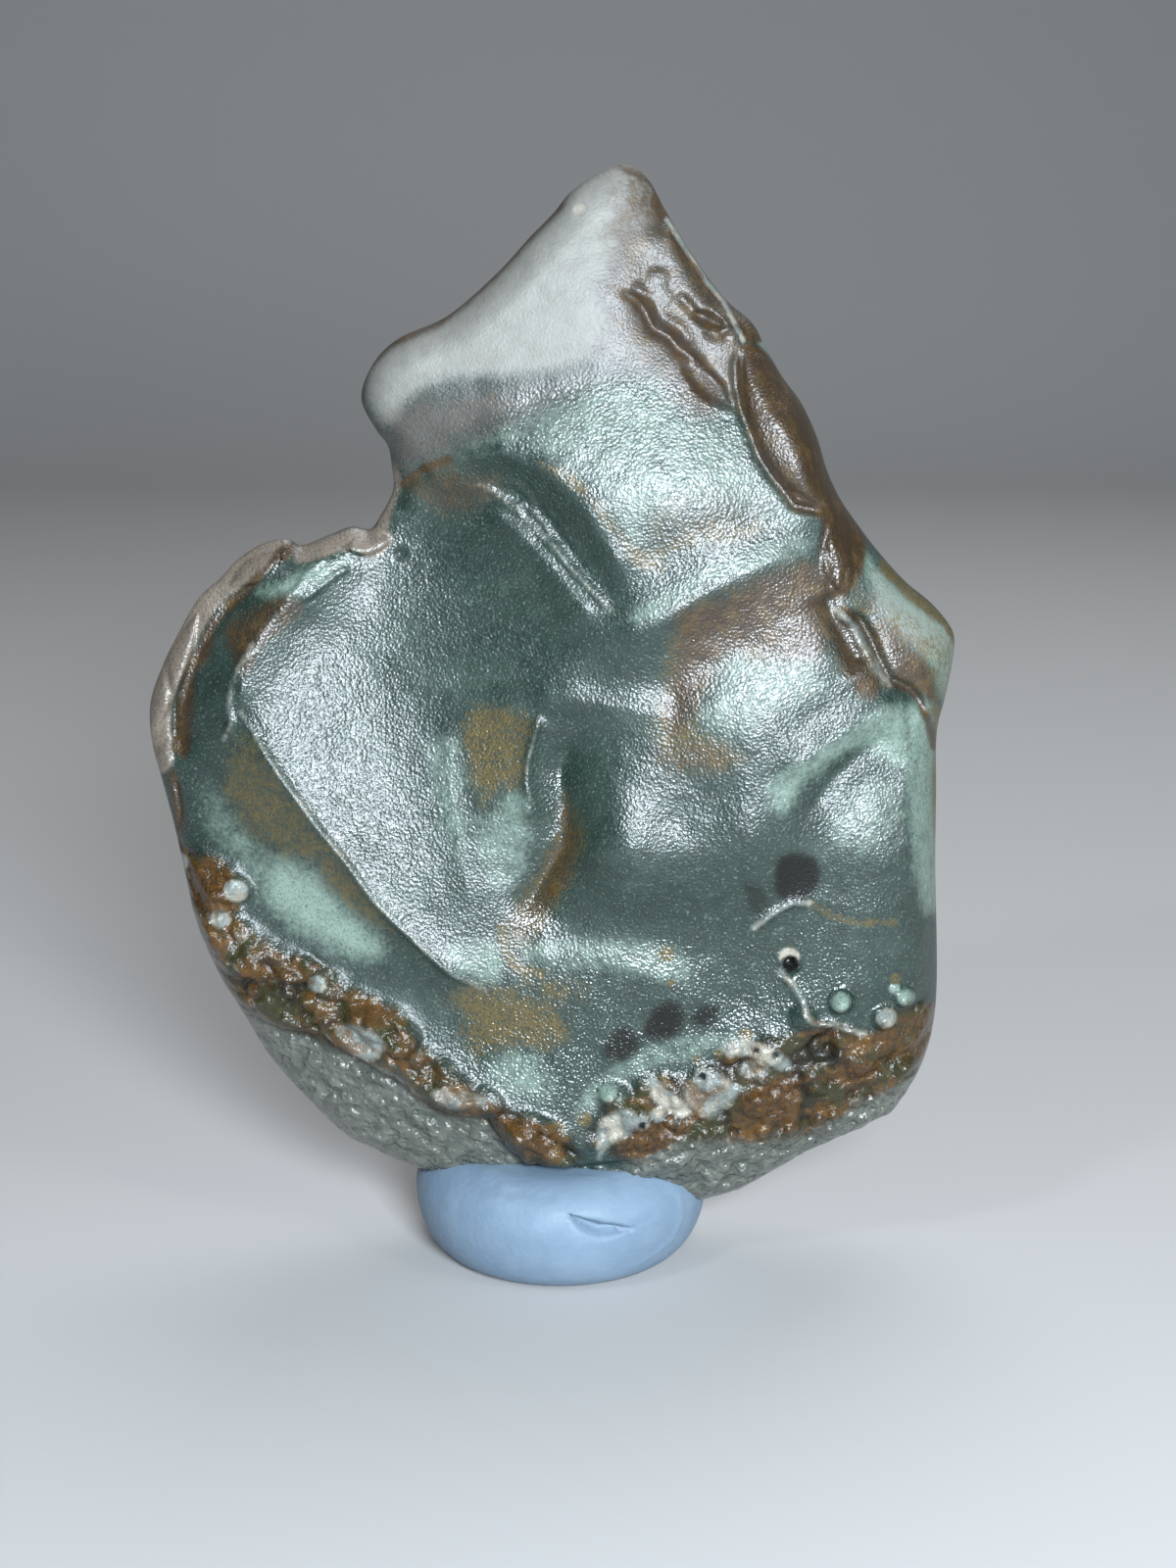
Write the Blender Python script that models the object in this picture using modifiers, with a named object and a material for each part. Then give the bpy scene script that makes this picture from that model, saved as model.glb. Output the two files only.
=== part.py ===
"""A wind-worn agate stone standing upright on a pressed lump of putty.

Metres, +Z up. The stone's broad front face looks along -Y, and the origin is the centre of the
putty's flat underside. The relief's landmarks are (x, z, height) in millimetres, where height is
how far the front stands towards -Y, and x and z are where the landmark is seen from the reading
point, on a sheet held upright in front of the stone.
"""

import math

import bmesh
import bpy
import numpy as np
from mathutils import Matrix

MM = 0.001

# Driving dimensions of the stone, in millimetres.
SLAB_HALF = 3.0  # half the thickness of the blank that the relief is laid on
RIM_WIDTH = 2.6  # how far in from the outline the rounded rim reaches
STONE_VOXEL = 0.8
STONE_TRIANGLES = 7900
OUTLINE_STEPS = 6  # samples between two outline points
SHEET_EASE = 0.006  # how freely the relief may pass its landmarks by
SHEET_SPAN = 40.0  # the distance that the sheet's bending is measured in
LEAST_HEIGHT = 0.8  # neither face comes nearer than this to the middle plane
CREST_FADE = 0.15  # the share of a line's length over which it fades in
RIM_BAND = 0.15  # points this near the outline take its own direction
RIM_BLUR = 0.6  # how far that direction is evened out along the outline
POINTS_AT_ONCE = 4000

# Where the landmarks are read from, and how far in front of the stone's middle the sheet stands.
READING_POINT = (2.4, -241.5, 106.9)
SHEET_DISTANCE = 8.0

# Driving dimensions of the putty foot, in millimetres.
FOOT_BULGE_RADIUS = 12.8
FOOT_BULGE_HEIGHT = 6.0
FOOT_BASE_RADIUS = 8.8
FOOT_TOP_RADIUS = 8.8
FOOT_TOP_HEIGHT = 10.0
FOOT_SIDES = 40
FOOT_PROFILE_STEPS = 9
SEAT_GAP = 0.3

# The stone's outline from the front, clockwise from the peak.
OUTLINE = [
    (5.4, 94.1), (7.2, 93.0), (8.7, 90.4), (10.3, 87.8), (12.0, 85.3), (13.8, 83.1), (15.9, 81.3),
    (17.0, 79.3), (18.5, 76.8), (20.0, 74.8), (21.3, 72.1), (22.2, 69.3), (23.4, 66.8), (25.0, 64.5),
    (26.8, 62.2), (29.0, 59.8), (31.4, 57.8), (33.1, 55.6), (33.2, 53.6), (32.7, 50.4), (32.0, 47.0),
    (32.1, 42.0), (32.2, 36.0), (32.5, 30.0), (32.7, 24.6), (32.5, 20.8), (31.8, 17.9), (30.7, 15.3),
    (29.2, 13.0), (26.2, 11.3), (23.4, 10.1), (20.2, 8.4), (17.6, 6.6), (14.6, 5.1), (9.0, 4.3),
    (2.0, 4.2), (-5.0, 5.2), (-12.5, 7.5), (-16.1, 9.0), (-19.0, 10.5), (-22.4, 14.0), (-25.5, 17.8),
    (-27.6, 21.8), (-29.8, 25.8), (-31.3, 29.8), (-32.1, 33.6), (-33.1, 38.8), (-34.0, 42.8),
    (-34.7, 46.0), (-34.7, 49.4), (-33.5, 52.7), (-32.0, 55.6), (-30.3, 58.4), (-28.5, 60.0),
    (-27.0, 61.6), (-25.0, 62.9), (-22.8, 63.4), (-21.6, 62.8), (-19.3, 63.7), (-17.3, 64.4),
    (-15.9, 64.1), (-14.9, 65.4), (-13.8, 67.6), (-13.9, 69.6), (-14.2, 71.3), (-15.2, 72.7),
    (-16.3, 75.2), (-15.3, 78.0), (-13.1, 80.1), (-9.1, 81.9), (-5.0, 85.4), (-2.4, 88.2),
    (-0.4, 90.2), (1.0, 91.9), (3.2, 93.3),
]

# Lines that the front relief follows: (crispness, reach, points). A positive crispness raises a
# crest along the line, a negative one cuts a crease, and both die away within the reach.
FRONT_LINES = {
    "blade_edge": (0.7, 0.9, [
        (8.0, 90.3, 2.6), (9.8, 87.2, 3.2), (11.6, 84.6, 3.8), (13.2, 82.6, 4.2),
        (14.3, 80.4, 4.4),
    ]),
    "blade_valley": (-0.15, 1.2, [
        (-12.5, 72.8, 3.0), (-7.0, 74.4, 4.6), (-2.0, 75.8, 5.7), (4.0, 77.8, 5.8),
    ]),
    "plateau_edge": (0.6, 1.2, [
        (-9.5, 71.2, 4.2), (-4.5, 71.9, 6.7), (-0.5, 70.0, 7.9), (2.4, 66.8, 8.8),
        (4.6, 63.2, 9.1), (5.8, 60.4, 9.0),
    ]),
    "wall_fold": (0.6, 1.2, [
        (-6.0, 67.7, 4.4), (-3.1, 65.1, 5.7), (-0.7, 62.6, 6.8), (1.3, 60.0, 7.8),
        (3.0, 57.7, 8.8),
    ]),
    "fold_crease": (-0.4, 0.7, [
        (-4.2, 69.6, 3.9), (-1.2, 67.0, 5.1), (1.2, 64.4, 6.2), (3.0, 62.0, 7.3), (4.6, 59.8, 8.4),
    ]),
    "band_crest": (0.45, 1.6, [
        (3.9, 57.4, 9.1), (6.2, 57.2, 9.8), (9.2, 58.7, 9.9), (12.6, 60.7, 9.6), (16.4, 62.7, 8.8),
        (20.0, 64.4, 7.7),
    ]),
    "hollow_rim": (0.5, 0.9, [
        (-26.3, 50.3, 5.0), (-25.9, 53.4, 4.9), (-24.4, 56.8, 4.7), (-22.0, 59.8, 4.2),
        (-18.8, 61.9, 3.4),
    ]),
    "knife_ridge": (0.7, 1.2, [
        (-26.2, 50.2, 5.2), (-23.3, 45.0, 6.2), (-20.0, 40.2, 6.9), (-15.0, 34.0, 7.6),
        (-10.0, 28.8, 8.3), (-6.0, 26.7, 8.5),
    ]),
    "trough": (0.0, 1.0, [
        (-15.5, 61.5, 1.9), (-17.4, 56.5, 3.0), (-16.2, 50.5, 4.4), (-14.0, 44.8, 5.6),
        (-11.6, 39.0, 6.7), (-9.2, 33.0, 7.6), (-7.4, 29.4, 8.0),
    ]),
    "trough_edge": (0.12, 0.8, [
        (-9.4, 49.5, 5.0), (-9.0, 44.0, 5.9), (-8.3, 38.5, 6.9), (-7.2, 33.5, 7.7),
    ]),
    "centre_ridge": (0.3, 1.4, [
        (-2.5, 51.6, 7.2), (0.5, 51.4, 8.2), (3.5, 51.0, 8.8), (6.5, 50.6, 9.0), (9.6, 50.0, 9.3),
    ]),
    "centre_valley": (-0.8, 1.4, [
        (1.2, 48.6, 6.8), (0.2, 45.6, 6.2), (0.6, 42.0, 6.5), (0.4, 38.8, 6.9), (-1.6, 35.6, 7.1),
        (-3.6, 32.2, 7.5),
    ]),
    "valley_edge": (0.5, 0.7, [
        (-1.5, 50.5, 7.3), (-2.5, 46.6, 7.2), (-2.6, 43.6, 7.5), (-2.4, 40.6, 7.7),
    ]),
    "lower_band": (0.2, 1.6, [
        (-3.0, 29.4, 8.2), (2.0, 29.2, 8.5), (6.0, 28.4, 8.8), (10.0, 26.8, 9.1),
    ]),
    "diagonal_ridge": (0.45, 1.4, [
        (28.2, 50.9, 7.4), (26.6, 50.2, 8.2), (24.2, 48.8, 9.1), (21.4, 46.8, 10.0),
        (18.4, 44.9, 10.5),
    ]),
    "diagonal_valley": (-0.5, 1.0, [
        (27.4, 48.8, 6.9), (25.0, 47.3, 7.7), (22.6, 45.0, 8.4), (20.8, 42.0, 9.0),
    ]),
    "shoulder_valley": (-0.15, 1.6, [
        (24.2, 52.6, 8.3), (21.4, 50.4, 9.3), (18.4, 48.2, 10.1),
    ]),
    "right_arris": (0.4, 0.9, [
        (29.0, 50.0, 6.6), (28.9, 44.0, 7.6), (28.8, 38.6, 8.4), (28.7, 32.0, 8.0),
        (28.8, 26.0, 7.6),
    ]),
    "vein_crease": (0.1, 0.6, [
        (15.2, 31.6, 8.8), (18.0, 33.3, 8.9), (20.2, 34.6, 8.8), (23.0, 34.0, 8.7),
        (28.0, 32.7, 8.2),
    ]),
    "left_groove": (-1.0, 1.0, [
        (-31.2, 46.0, 2.2), (-30.9, 50.5, 2.2), (-29.3, 55.2, 2.1), (-26.8, 59.2, 2.0),
        (-23.2, 61.6, 2.0),
    ]),
    "neck_crease": (-0.6, 0.6, [
        (-13.4, 66.8, 1.8), (-12.4, 69.2, 2.4), (-10.2, 70.6, 3.2),
    ]),
    "wrinkle": (-0.6, 0.7, [
        (6.6, 84.6, 4.2), (7.4, 82.4, 4.4), (8.9, 80.9, 4.8), (10.2, 79.8, 5.0), (11.4, 78.2, 5.4),
    ]),
    "upper_groove": (-1.0, 0.8, [
        (21.6, 60.6, 7.4), (22.4, 58.2, 7.8), (23.6, 56.0, 8.0), (24.9, 53.8, 8.2),
    ]),
    "tip_groove": (-1.0, 0.7, [
        (23.8, 59.2, 6.4), (25.4, 56.4, 6.8), (26.9, 53.2, 7.1), (28.6, 51.9, 6.4),
        (30.2, 50.4, 5.2),
    ]),
    "ledge_crest": (0.4, 1.4, [
        (-31.0, 36.5, 3.2), (-29.6, 32.4, 4.0), (-26.6, 28.2, 5.0), (-22.0, 25.4, 6.4),
        (-16.0, 22.2, 7.8), (-11.0, 18.6, 8.6), (-6.0, 16.4, 9.1), (-2.5, 12.6, 9.5),
        (2.0, 12.2, 9.6),
    ]),
}

# The crust's lower edge, below which the stone steps back into a dimpled underside.
LEDGE_EDGE = [
    (-27.5, 24.8), (-22.5, 23.1), (-20.0, 22.5), (-17.0, 20.4), (-14.3, 18.9), (-11.6, 16.6),
    (-9.4, 15.3), (-6.0, 15.0), (-4.3, 12.4), (-2.6, 10.8), (1.5, 10.6), (5.5, 11.2), (10.0, 11.8),
]
LEDGE_DROP = 1.9
LEDGE_LIP = 0.9  # width over which the edge turns down
LEDGE_REACH = 7.0
LEDGE_FADES = (0.12, 0.3)  # the shares of the edge over which it fades in and out

# Places between the lines: (x, z, height).
FRONT_LEVELS = [
    # the pale blade at the top
    (4.6, 91.6, 2.6), (0.5, 88.6, 3.6), (-3.6, 83.0, 4.4), (2.4, 84.0, 5.0), (5.2, 87.6, 3.8),
    (8.4, 86.4, 3.0), (-9.4, 79.2, 3.9), (-1.6, 80.6, 5.0), (-13.4, 76.4, 3.8), (-9.4, 76.2, 4.9),
    (-4.6, 77.4, 5.4), (0.6, 78.8, 5.6), (-15.0, 74.6, 2.6),
    # the plateau below it
    (-5.0, 73.4, 6.1), (-1.0, 74.0, 6.8), (1.6, 71.4, 7.6), (6.2, 74.6, 6.8), (5.0, 69.4, 8.4),
    (9.4, 71.4, 7.8), (8.2, 67.4, 8.9), (12.4, 69.4, 8.1), (12.4, 66.9, 8.7), (12.2, 74.2, 6.4),
    (16.4, 69.6, 7.2), (7.2, 65.0, 8.7), (8.2, 62.8, 8.5), (12.6, 64.6, 8.4), (16.8, 67.2, 7.6),
    (16.8, 65.3, 7.5), (19.8, 67.6, 6.9), (19.6, 72.4, 6.9), (13.6, 78.6, 4.4), (15.2, 74.0, 5.4),
    # the hollow's upper wall and floor
    (-9.4, 67.4, 2.2), (-12.6, 65.6, 1.5), (-7.4, 63.6, 3.2), (-3.6, 60.8, 4.8), (-0.6, 57.2, 6.6),
    (-9.6, 56.6, 3.9), (-6.2, 52.6, 5.6), (-22.0, 54.6, 3.9), (-20.4, 48.0, 5.2),
    (-23.8, 51.6, 4.6), (-20.4, 57.6, 2.9), (-17.4, 41.6, 6.6), (-13.2, 35.6, 7.5),
    (-6.2, 47.0, 6.0), (-5.6, 40.6, 7.0), (-5.2, 34.6, 7.7), (-12.6, 59.6, 2.7), (-4.6, 56.6, 5.4),
    # the bevel below the knife ridge
    (-28.4, 46.0, 3.8), (-25.6, 41.0, 4.6), (-22.4, 35.6, 5.2), (-17.2, 30.2, 6.2),
    (-12.2, 25.4, 7.2), (-28.6, 39.4, 3.4), (-24.6, 32.4, 4.4), (-18.6, 27.0, 5.8),
    (-8.0, 21.6, 8.0), (-2.6, 23.6, 8.6),
    # the knob and the ground right of it
    (3.0, 42.4, 9.7), (3.4, 38.4, 10.9), (5.4, 41.6, 10.5), (5.4, 44.4, 9.6), (6.0, 38.8, 11.2),
    (9.0, 41.4, 9.8), (9.4, 38.2, 10.7), (2.4, 45.4, 8.6), (5.6, 34.4, 9.7), (12.4, 34.6, 9.4),
    (8.0, 31.4, 8.2), (1.2, 31.4, 7.8), (13.6, 31.2, 8.5), (8.6, 52.7, 8.3), (3.6, 52.8, 7.8),
    (12.6, 54.6, 8.6), (6.0, 47.4, 9.1), (17.6, 59.2, 8.4), (11.6, 50.0, 10.0), (15.4, 52.0, 10.0),
    (20.0, 55.4, 8.6), (16.0, 56.2, 8.4), (12.0, 45.4, 10.0), (13.2, 42.0, 10.2),
    (16.0, 43.6, 10.6), (16.0, 40.0, 11.4), (17.4, 37.0, 10.0), (20.6, 36.0, 8.6),
    (12.6, 58.4, 8.8), (21.6, 57.6, 8.4), (22.6, 54.6, 8.8),
    # the facets down the right side
    (26.6, 45.6, 7.5), (24.6, 42.4, 8.5), (24.6, 39.4, 9.2), (27.4, 39.0, 8.7), (24.6, 35.4, 8.8),
    (24.4, 29.6, 8.4), (18.6, 28.4, 8.5), (15.6, 25.4, 8.3), (30.4, 44.0, 4.6), (30.6, 34.0, 4.8),
    (30.8, 26.0, 4.8), (30.6, 55.6, 4.8), (28.0, 57.4, 5.4), (31.2, 52.8, 4.8), (25.2, 61.0, 5.2),
    (23.2, 64.0, 5.4), (26.6, 51.6, 7.8), (29.4, 53.4, 5.8),
    # the foot of the stone and the crust
    (1.6, 26.0, 8.9), (6.2, 25.4, 8.8), (1.6, 22.4, 9.0), (7.4, 22.0, 8.8), (-1.6, 17.6, 9.3),
    (4.4, 16.4, 9.1), (11.4, 18.6, 9.0), (18.4, 20.4, 9.2), (24.6, 21.6, 8.2), (29.0, 20.6, 6.0),
    (9.4, 13.4, 9.4), (16.4, 15.2, 8.4), (23.4, 16.8, 7.0), (28.0, 15.4, 4.4), (22.6, 12.4, 4.4),
    (16.0, 9.4, 4.8), (9.0, 7.4, 5.4), (1.0, 7.2, 6.6), (-7.0, 9.4, 6.4), (-14.6, 12.6, 5.0),
    (-20.4, 16.4, 4.0), (-25.4, 21.6, 3.2), (-30.2, 30.0, 2.6), (-32.4, 38.0, 1.8),
    (-33.2, 46.0, 1.6), (-32.4, 51.0, 1.6), (-29.0, 58.0, 1.6),
]

# Leaf-shaped swellings and pits on the front: (x, z, half length, half width, turn in degrees,
# height). A leaf has a crisp edge and pointed ends, and a negative height sinks it.
LEAVES = [
    (18.7, 73.5, 7.4, 3.0, -60.0, 1.15),
    (11.9, 77.2, 2.9, 0.9, -42.0, -0.9),
    (12.0, 82.4, 1.6, 0.7, -20.0, -0.7),
    (22.6, 62.8, 2.6, 1.3, -75.0, 0.9),
    (-24.6, 62.2, 2.6, 1.0, 32.0, 0.8),
    (-31.9, 53.0, 6.4, 1.1, 66.0, 0.9),
    (-15.4, 64.4, 1.9, 0.9, 8.0, 1.0),
    (-32.7, 46.4, 1.3, 1.0, 70.0, 0.7),
]

# Round lumps and pits that stand out of the crust from a step away: (x, z, radius, height).
LUMPS = [
    (-28.7, 34.6, 1.5, 0.9), (-30.4, 33.0, 1.4, 0.7), (-29.2, 31.2, 1.6, 0.9), (-26.2, 29.0, 1.5, 0.7),
    (-23.0, 27.0, 1.6, 0.8), (-19.8, 26.0, 1.5, 0.9), (-16.4, 23.6, 1.8, 0.9), (-13.2, 22.2, 1.7, 0.8),
    (-9.2, 17.2, 2.0, 0.9), (-6.2, 16.4, 1.6, 0.7), (-3.2, 13.2, 1.8, 0.7), (4.6, 16.8, 1.5, 0.8),
    (6.6, 15.0, 1.6, 0.8), (9.6, 17.2, 1.5, 0.7), (12.6, 18.2, 1.9, 0.7), (17.6, 20.8, 1.6, 0.8),
    (20.6, 24.0, 1.3, 0.8), (23.8, 25.4, 1.2, 0.9), (27.4, 24.0, 1.3, 0.9), (28.9, 25.8, 1.0, 0.8),
    (25.6, 20.0, 1.6, 0.8), (21.4, 18.2, 1.6, 0.8), (16.6, 16.4, 1.6, 0.8), (29.6, 19.4, 1.5, 0.7),
    (22.2, 21.2, 1.5, -1.2), (19.2, 28.4, 0.9, -0.8),
]

# The weathered back: (x, z, depth behind the rim).
BACK_LEVELS = [
    (4.5, 91.0, 2.0), (0.0, 84.0, 4.4), (-9.0, 78.0, 3.6), (-14.6, 75.0, 2.4), (10.0, 82.0, 4.0),
    (2.0, 74.0, 6.6), (12.0, 70.0, 7.0), (19.6, 71.0, 3.6), (-8.0, 66.0, 5.2), (4.0, 62.0, 9.0),
    (-20.0, 56.0, 5.6), (-31.0, 50.0, 2.2), (-10.0, 50.0, 9.0), (8.0, 48.0, 10.6), (20.0, 58.0, 7.6),
    (30.0, 54.0, 3.2), (26.0, 42.0, 7.4), (-26.0, 40.0, 5.8), (-12.0, 34.0, 9.8), (6.0, 32.0, 10.2),
    (20.0, 30.0, 9.4), (30.0, 28.0, 4.4), (-24.0, 26.0, 5.6), (-8.0, 20.0, 9.2), (10.0, 18.0, 9.0),
    (24.0, 17.0, 6.2), (-18.0, 14.0, 4.8), (0.0, 9.0, 6.6), (14.0, 9.4, 5.4), (-8.0, 9.6, 5.6),
]

# Finishes read from the photograph: (colour, roughness, metallic).
AGATE_GREEN = ((0.16, 0.23, 0.20, 1.0), 0.30, 0.0)
PUTTY_BLUE = ((0.17, 0.23, 0.33, 1.0), 0.65, 0.0)


def clear_scene():
    for obj in list(bpy.data.objects):
        bpy.data.objects.remove(obj, do_unlink=True)


def collection(name):
    made = bpy.data.collections.new(name)
    bpy.context.scene.collection.children.link(made)
    return made


def material(name, finish):
    colour, roughness, metallic = finish
    made = bpy.data.materials.new(name)
    made.use_nodes = True
    made.diffuse_color = colour
    shader = made.node_tree.nodes["Principled BSDF"]
    shader.inputs["Base Color"].default_value = colour
    shader.inputs["Roughness"].default_value = roughness
    shader.inputs["Metallic"].default_value = metallic
    return made


def evaluated_mesh(obj):
    """The object's mesh with its modifiers applied."""
    bpy.context.view_layer.update()
    graph = bpy.context.evaluated_depsgraph_get()
    return bpy.data.meshes.new_from_object(obj.evaluated_get(graph))


def points_of(mesh):
    flat = np.empty(len(mesh.vertices) * 3, np.float32)
    mesh.vertices.foreach_get("co", flat)
    return flat.reshape(-1, 3).astype(float)


def smooth_loop(points, steps):
    """A closed Catmull-Rom curve through the points, sampled evenly between them."""
    knots = np.array(points, float)
    before, after, beyond = (np.roll(knots, shift, axis=0) for shift in (1, -1, -2))
    samples = []
    for t in np.linspace(0.0, 1.0, steps, endpoint=False):
        samples.append(
            0.5 * (2.0 * knots + (after - before) * t
                   + (2.0 * before - 5.0 * knots + 4.0 * after - beyond) * t ** 2
                   + (3.0 * knots - before - 3.0 * after + beyond) * t ** 3)
        )
    return np.stack(samples, axis=1).reshape(-1, 2)


def nearest_on_line(places, line, closed=False):
    """For each place: its distance to the line, the nearest point, the share of the way along,
    and which side it is on, positive to the left of the line's direction."""
    ends = np.array(line, float)[:, :2]
    starts = ends if closed else ends[:-1]
    stops = np.roll(ends, -1, axis=0) if closed else ends[1:]
    lengths = np.linalg.norm(stops - starts, axis=1)
    run = np.concatenate([[0.0], np.cumsum(lengths)])
    best = np.full(len(places), np.inf)
    nearest = np.zeros((len(places), 2))
    along = np.zeros(len(places))
    side = np.zeros(len(places))
    for i, (start, stop) in enumerate(zip(starts, stops)):
        way = stop - start
        offset = places - start
        share = np.clip(offset @ way / (way @ way), 0.0, 1.0)
        foot = start + share[:, None] * way
        gap = np.linalg.norm(places - foot, axis=1)
        closer = gap < best
        best[closer] = gap[closer]
        nearest[closer] = foot[closer]
        along[closer] = (run[i] + share[closer] * lengths[i]) / run[-1]
        side[closer] = np.sign(way[0] * offset[closer, 1] - way[1] * offset[closer, 0])
    return best, nearest, along, side


def thin_plate(levels):
    """A smooth sheet through (x, z, height) places, as a function of an array of (x, z)."""
    knots = np.array(levels, float)

    def bend(gap):
        scaled = gap / SHEET_SPAN
        return scaled ** 2 * np.log(np.maximum(scaled, 1e-6))

    def gaps(places):
        return np.linalg.norm(places[:, None, :] - knots[None, :, :2], axis=2)

    count = len(knots)
    plane = np.column_stack([np.ones(count), knots[:, :2]])
    system = np.zeros((count + 3, count + 3))
    system[:count, :count] = bend(gaps(knots[:, :2])) + SHEET_EASE * np.eye(count)
    system[:count, count:] = plane
    system[count:, :count] = plane.T
    weights = np.linalg.solve(system, np.concatenate([knots[:, 2], np.zeros(3)]))

    def sheet(places):
        heights = np.empty(len(places))
        for block in np.array_split(np.arange(len(places)), max(1, len(places) // POINTS_AT_ONCE)):
            bent = bend(gaps(places[block])) @ weights[:count]
            heights[block] = bent + weights[count] + places[block] @ weights[count + 1:]
        return heights

    return sheet


def settle(points):
    """Moves (x, z, height) landmarks along the line of sight from the sheet to their own height."""
    read = np.array(points, float)
    eye_x, eye_y, eye_z = READING_POINT
    stretch = (-eye_y - read[:, 2]) / (-eye_y - SHEET_DISTANCE)
    x = eye_x + (read[:, 0] - eye_x) * stretch
    z = eye_z + (read[:, 1] - eye_z) * stretch
    return np.column_stack([x, z, read[:, 2]])


def smooth_step(value):
    value = np.clip(value, 0.0, 1.0)
    return value * value * (3.0 - 2.0 * value)


def crest_height(places, crispness, reach, line):
    """The sharp part of a ridge or crease, which fades out at the line's two ends."""
    gap, _, along, _ = nearest_on_line(places, line)
    fade = smooth_step(np.minimum(along, 1.0 - along) / CREST_FADE)
    return crispness * fade * np.exp(-gap / reach)


def ledge_step(places, edge):
    """How far the underside steps back below the crust's lower edge."""
    gap, _, along, side = nearest_on_line(places, edge)
    below = np.where(side < 0, gap, 0.0)
    fade = smooth_step(np.minimum(along / LEDGE_FADES[0], (1.0 - along) / LEDGE_FADES[1]))
    return LEDGE_DROP * fade * smooth_step(below / LEDGE_LIP) * np.exp(-below / LEDGE_REACH)


def leaf_height(places, x, z, half_length, half_width, turn, height):
    """A pointed oval swelling, or a pit where the height is negative."""
    angle = math.radians(turn)
    offset = places - (x, z)
    lengthwise = (offset @ (math.cos(angle), math.sin(angle))) / half_length
    across = offset @ (-math.sin(angle), math.cos(angle))
    room = np.maximum(1.0 - lengthwise ** 2, 1e-6)
    inside = np.clip(1.0 - (across / (half_width * room)) ** 2, 0.0, 1.0)
    return height * np.sqrt(inside * np.where(np.abs(lengthwise) < 1.0, room, 0.0))


def lump_height(places, x, z, radius, height):
    gap = np.linalg.norm(places - (x, z), axis=1) / radius
    return height * np.clip(1.0 - gap ** 2, 0.0, 1.0)


def settle_on(sheet, x, z):
    """Where a mark that is read at (x, z) lies on the sheet of heights."""
    place = np.array([[x, z]], float)
    for _ in range(4):
        place = settle([(x, z, sheet(place)[0])])[:, :2]
    return tuple(place[0])


def front_height(places):
    """The front face's height towards the viewer at each (x, z), in millimetres."""
    levels = [point for _, _, line in FRONT_LINES.values() for point in line] + FRONT_LEVELS
    sheet = thin_plate(settle(levels))
    height = sheet(places)
    for crispness, reach, line in FRONT_LINES.values():
        height += crest_height(places, crispness, reach, settle(line))
    for x, z, *sizes in LEAVES:
        height += leaf_height(places, *settle_on(sheet, x, z), *sizes)
    for x, z, *sizes in LUMPS:
        height += lump_height(places, *settle_on(sheet, x, z), *sizes)
    edge = [settle_on(sheet, x, z) for x, z in LEDGE_EDGE]
    return np.maximum(height - ledge_step(places, edge), LEAST_HEIGHT)


def back_depth(places):
    return np.maximum(thin_plate(BACK_LEVELS)(places), LEAST_HEIGHT)


def rim_normals(nearest, outline):
    """The outline's inward direction at points that lie on it."""
    ends = np.array(outline, float)
    ways = np.roll(ends, -1, axis=0) - ends
    middles = ends + ways / 2.0
    inwards = np.column_stack([ways[:, 1], -ways[:, 0]])
    inwards /= np.linalg.norm(inwards, axis=1)[:, None]
    found = np.zeros((len(nearest), 2))
    for block in np.array_split(np.arange(len(nearest)), max(1, len(nearest) // POINTS_AT_ONCE)):
        gaps = np.linalg.norm(nearest[block][:, None, :] - middles[None, :, :], axis=2)
        weights = np.exp(-(gaps / RIM_BLUR) ** 2) + 1e-12
        found[block] = weights @ inwards
    return found


def lay_relief(mesh, outline):
    """Rounds the blank's rim and moves its two faces to the front and back relief."""
    points = points_of(mesh) / MM
    places = points[:, [0, 2]]
    gap, nearest, _, side = nearest_on_line(places, outline, closed=True)
    inside = np.where(side < 0, gap, -gap)
    inward = np.where(gap[:, None] > RIM_BAND, (places - nearest) * np.sign(inside)[:, None], 0.0)
    inward += rim_normals(nearest, outline) * (gap[:, None] <= RIM_BAND)
    inward /= np.maximum(np.linalg.norm(inward, axis=1), 1e-9)[:, None]
    travel = inside + np.abs(points[:, 1])
    turn = np.clip(travel / (SLAB_HALF + RIM_WIDTH), 0.0, 1.0) * math.pi / 2.0
    inset = RIM_WIDTH * (1.0 - np.cos(turn))
    at_rim = (turn < math.pi / 2.0)[:, None]
    places = np.where(at_rim, nearest + inward * inset[:, None], places)
    share = np.sin(turn)
    depth = np.where(points[:, 1] < 0.0, -front_height(places), back_depth(places)) * share
    moved = np.column_stack([places[:, 0], depth, places[:, 1]]) * MM
    mesh.vertices.foreach_set("co", moved.astype(np.float32).ravel())
    mesh.update()


def remesh(obj, voxel):
    """Replaces the object's mesh with an even one of that cell size."""
    modifier = obj.modifiers.new("even_cells", "REMESH")
    modifier.mode = "VOXEL"
    modifier.voxel_size = voxel * MM
    mesh = evaluated_mesh(obj)
    obj.modifiers.clear()
    obj.data = mesh
    return mesh


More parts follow.
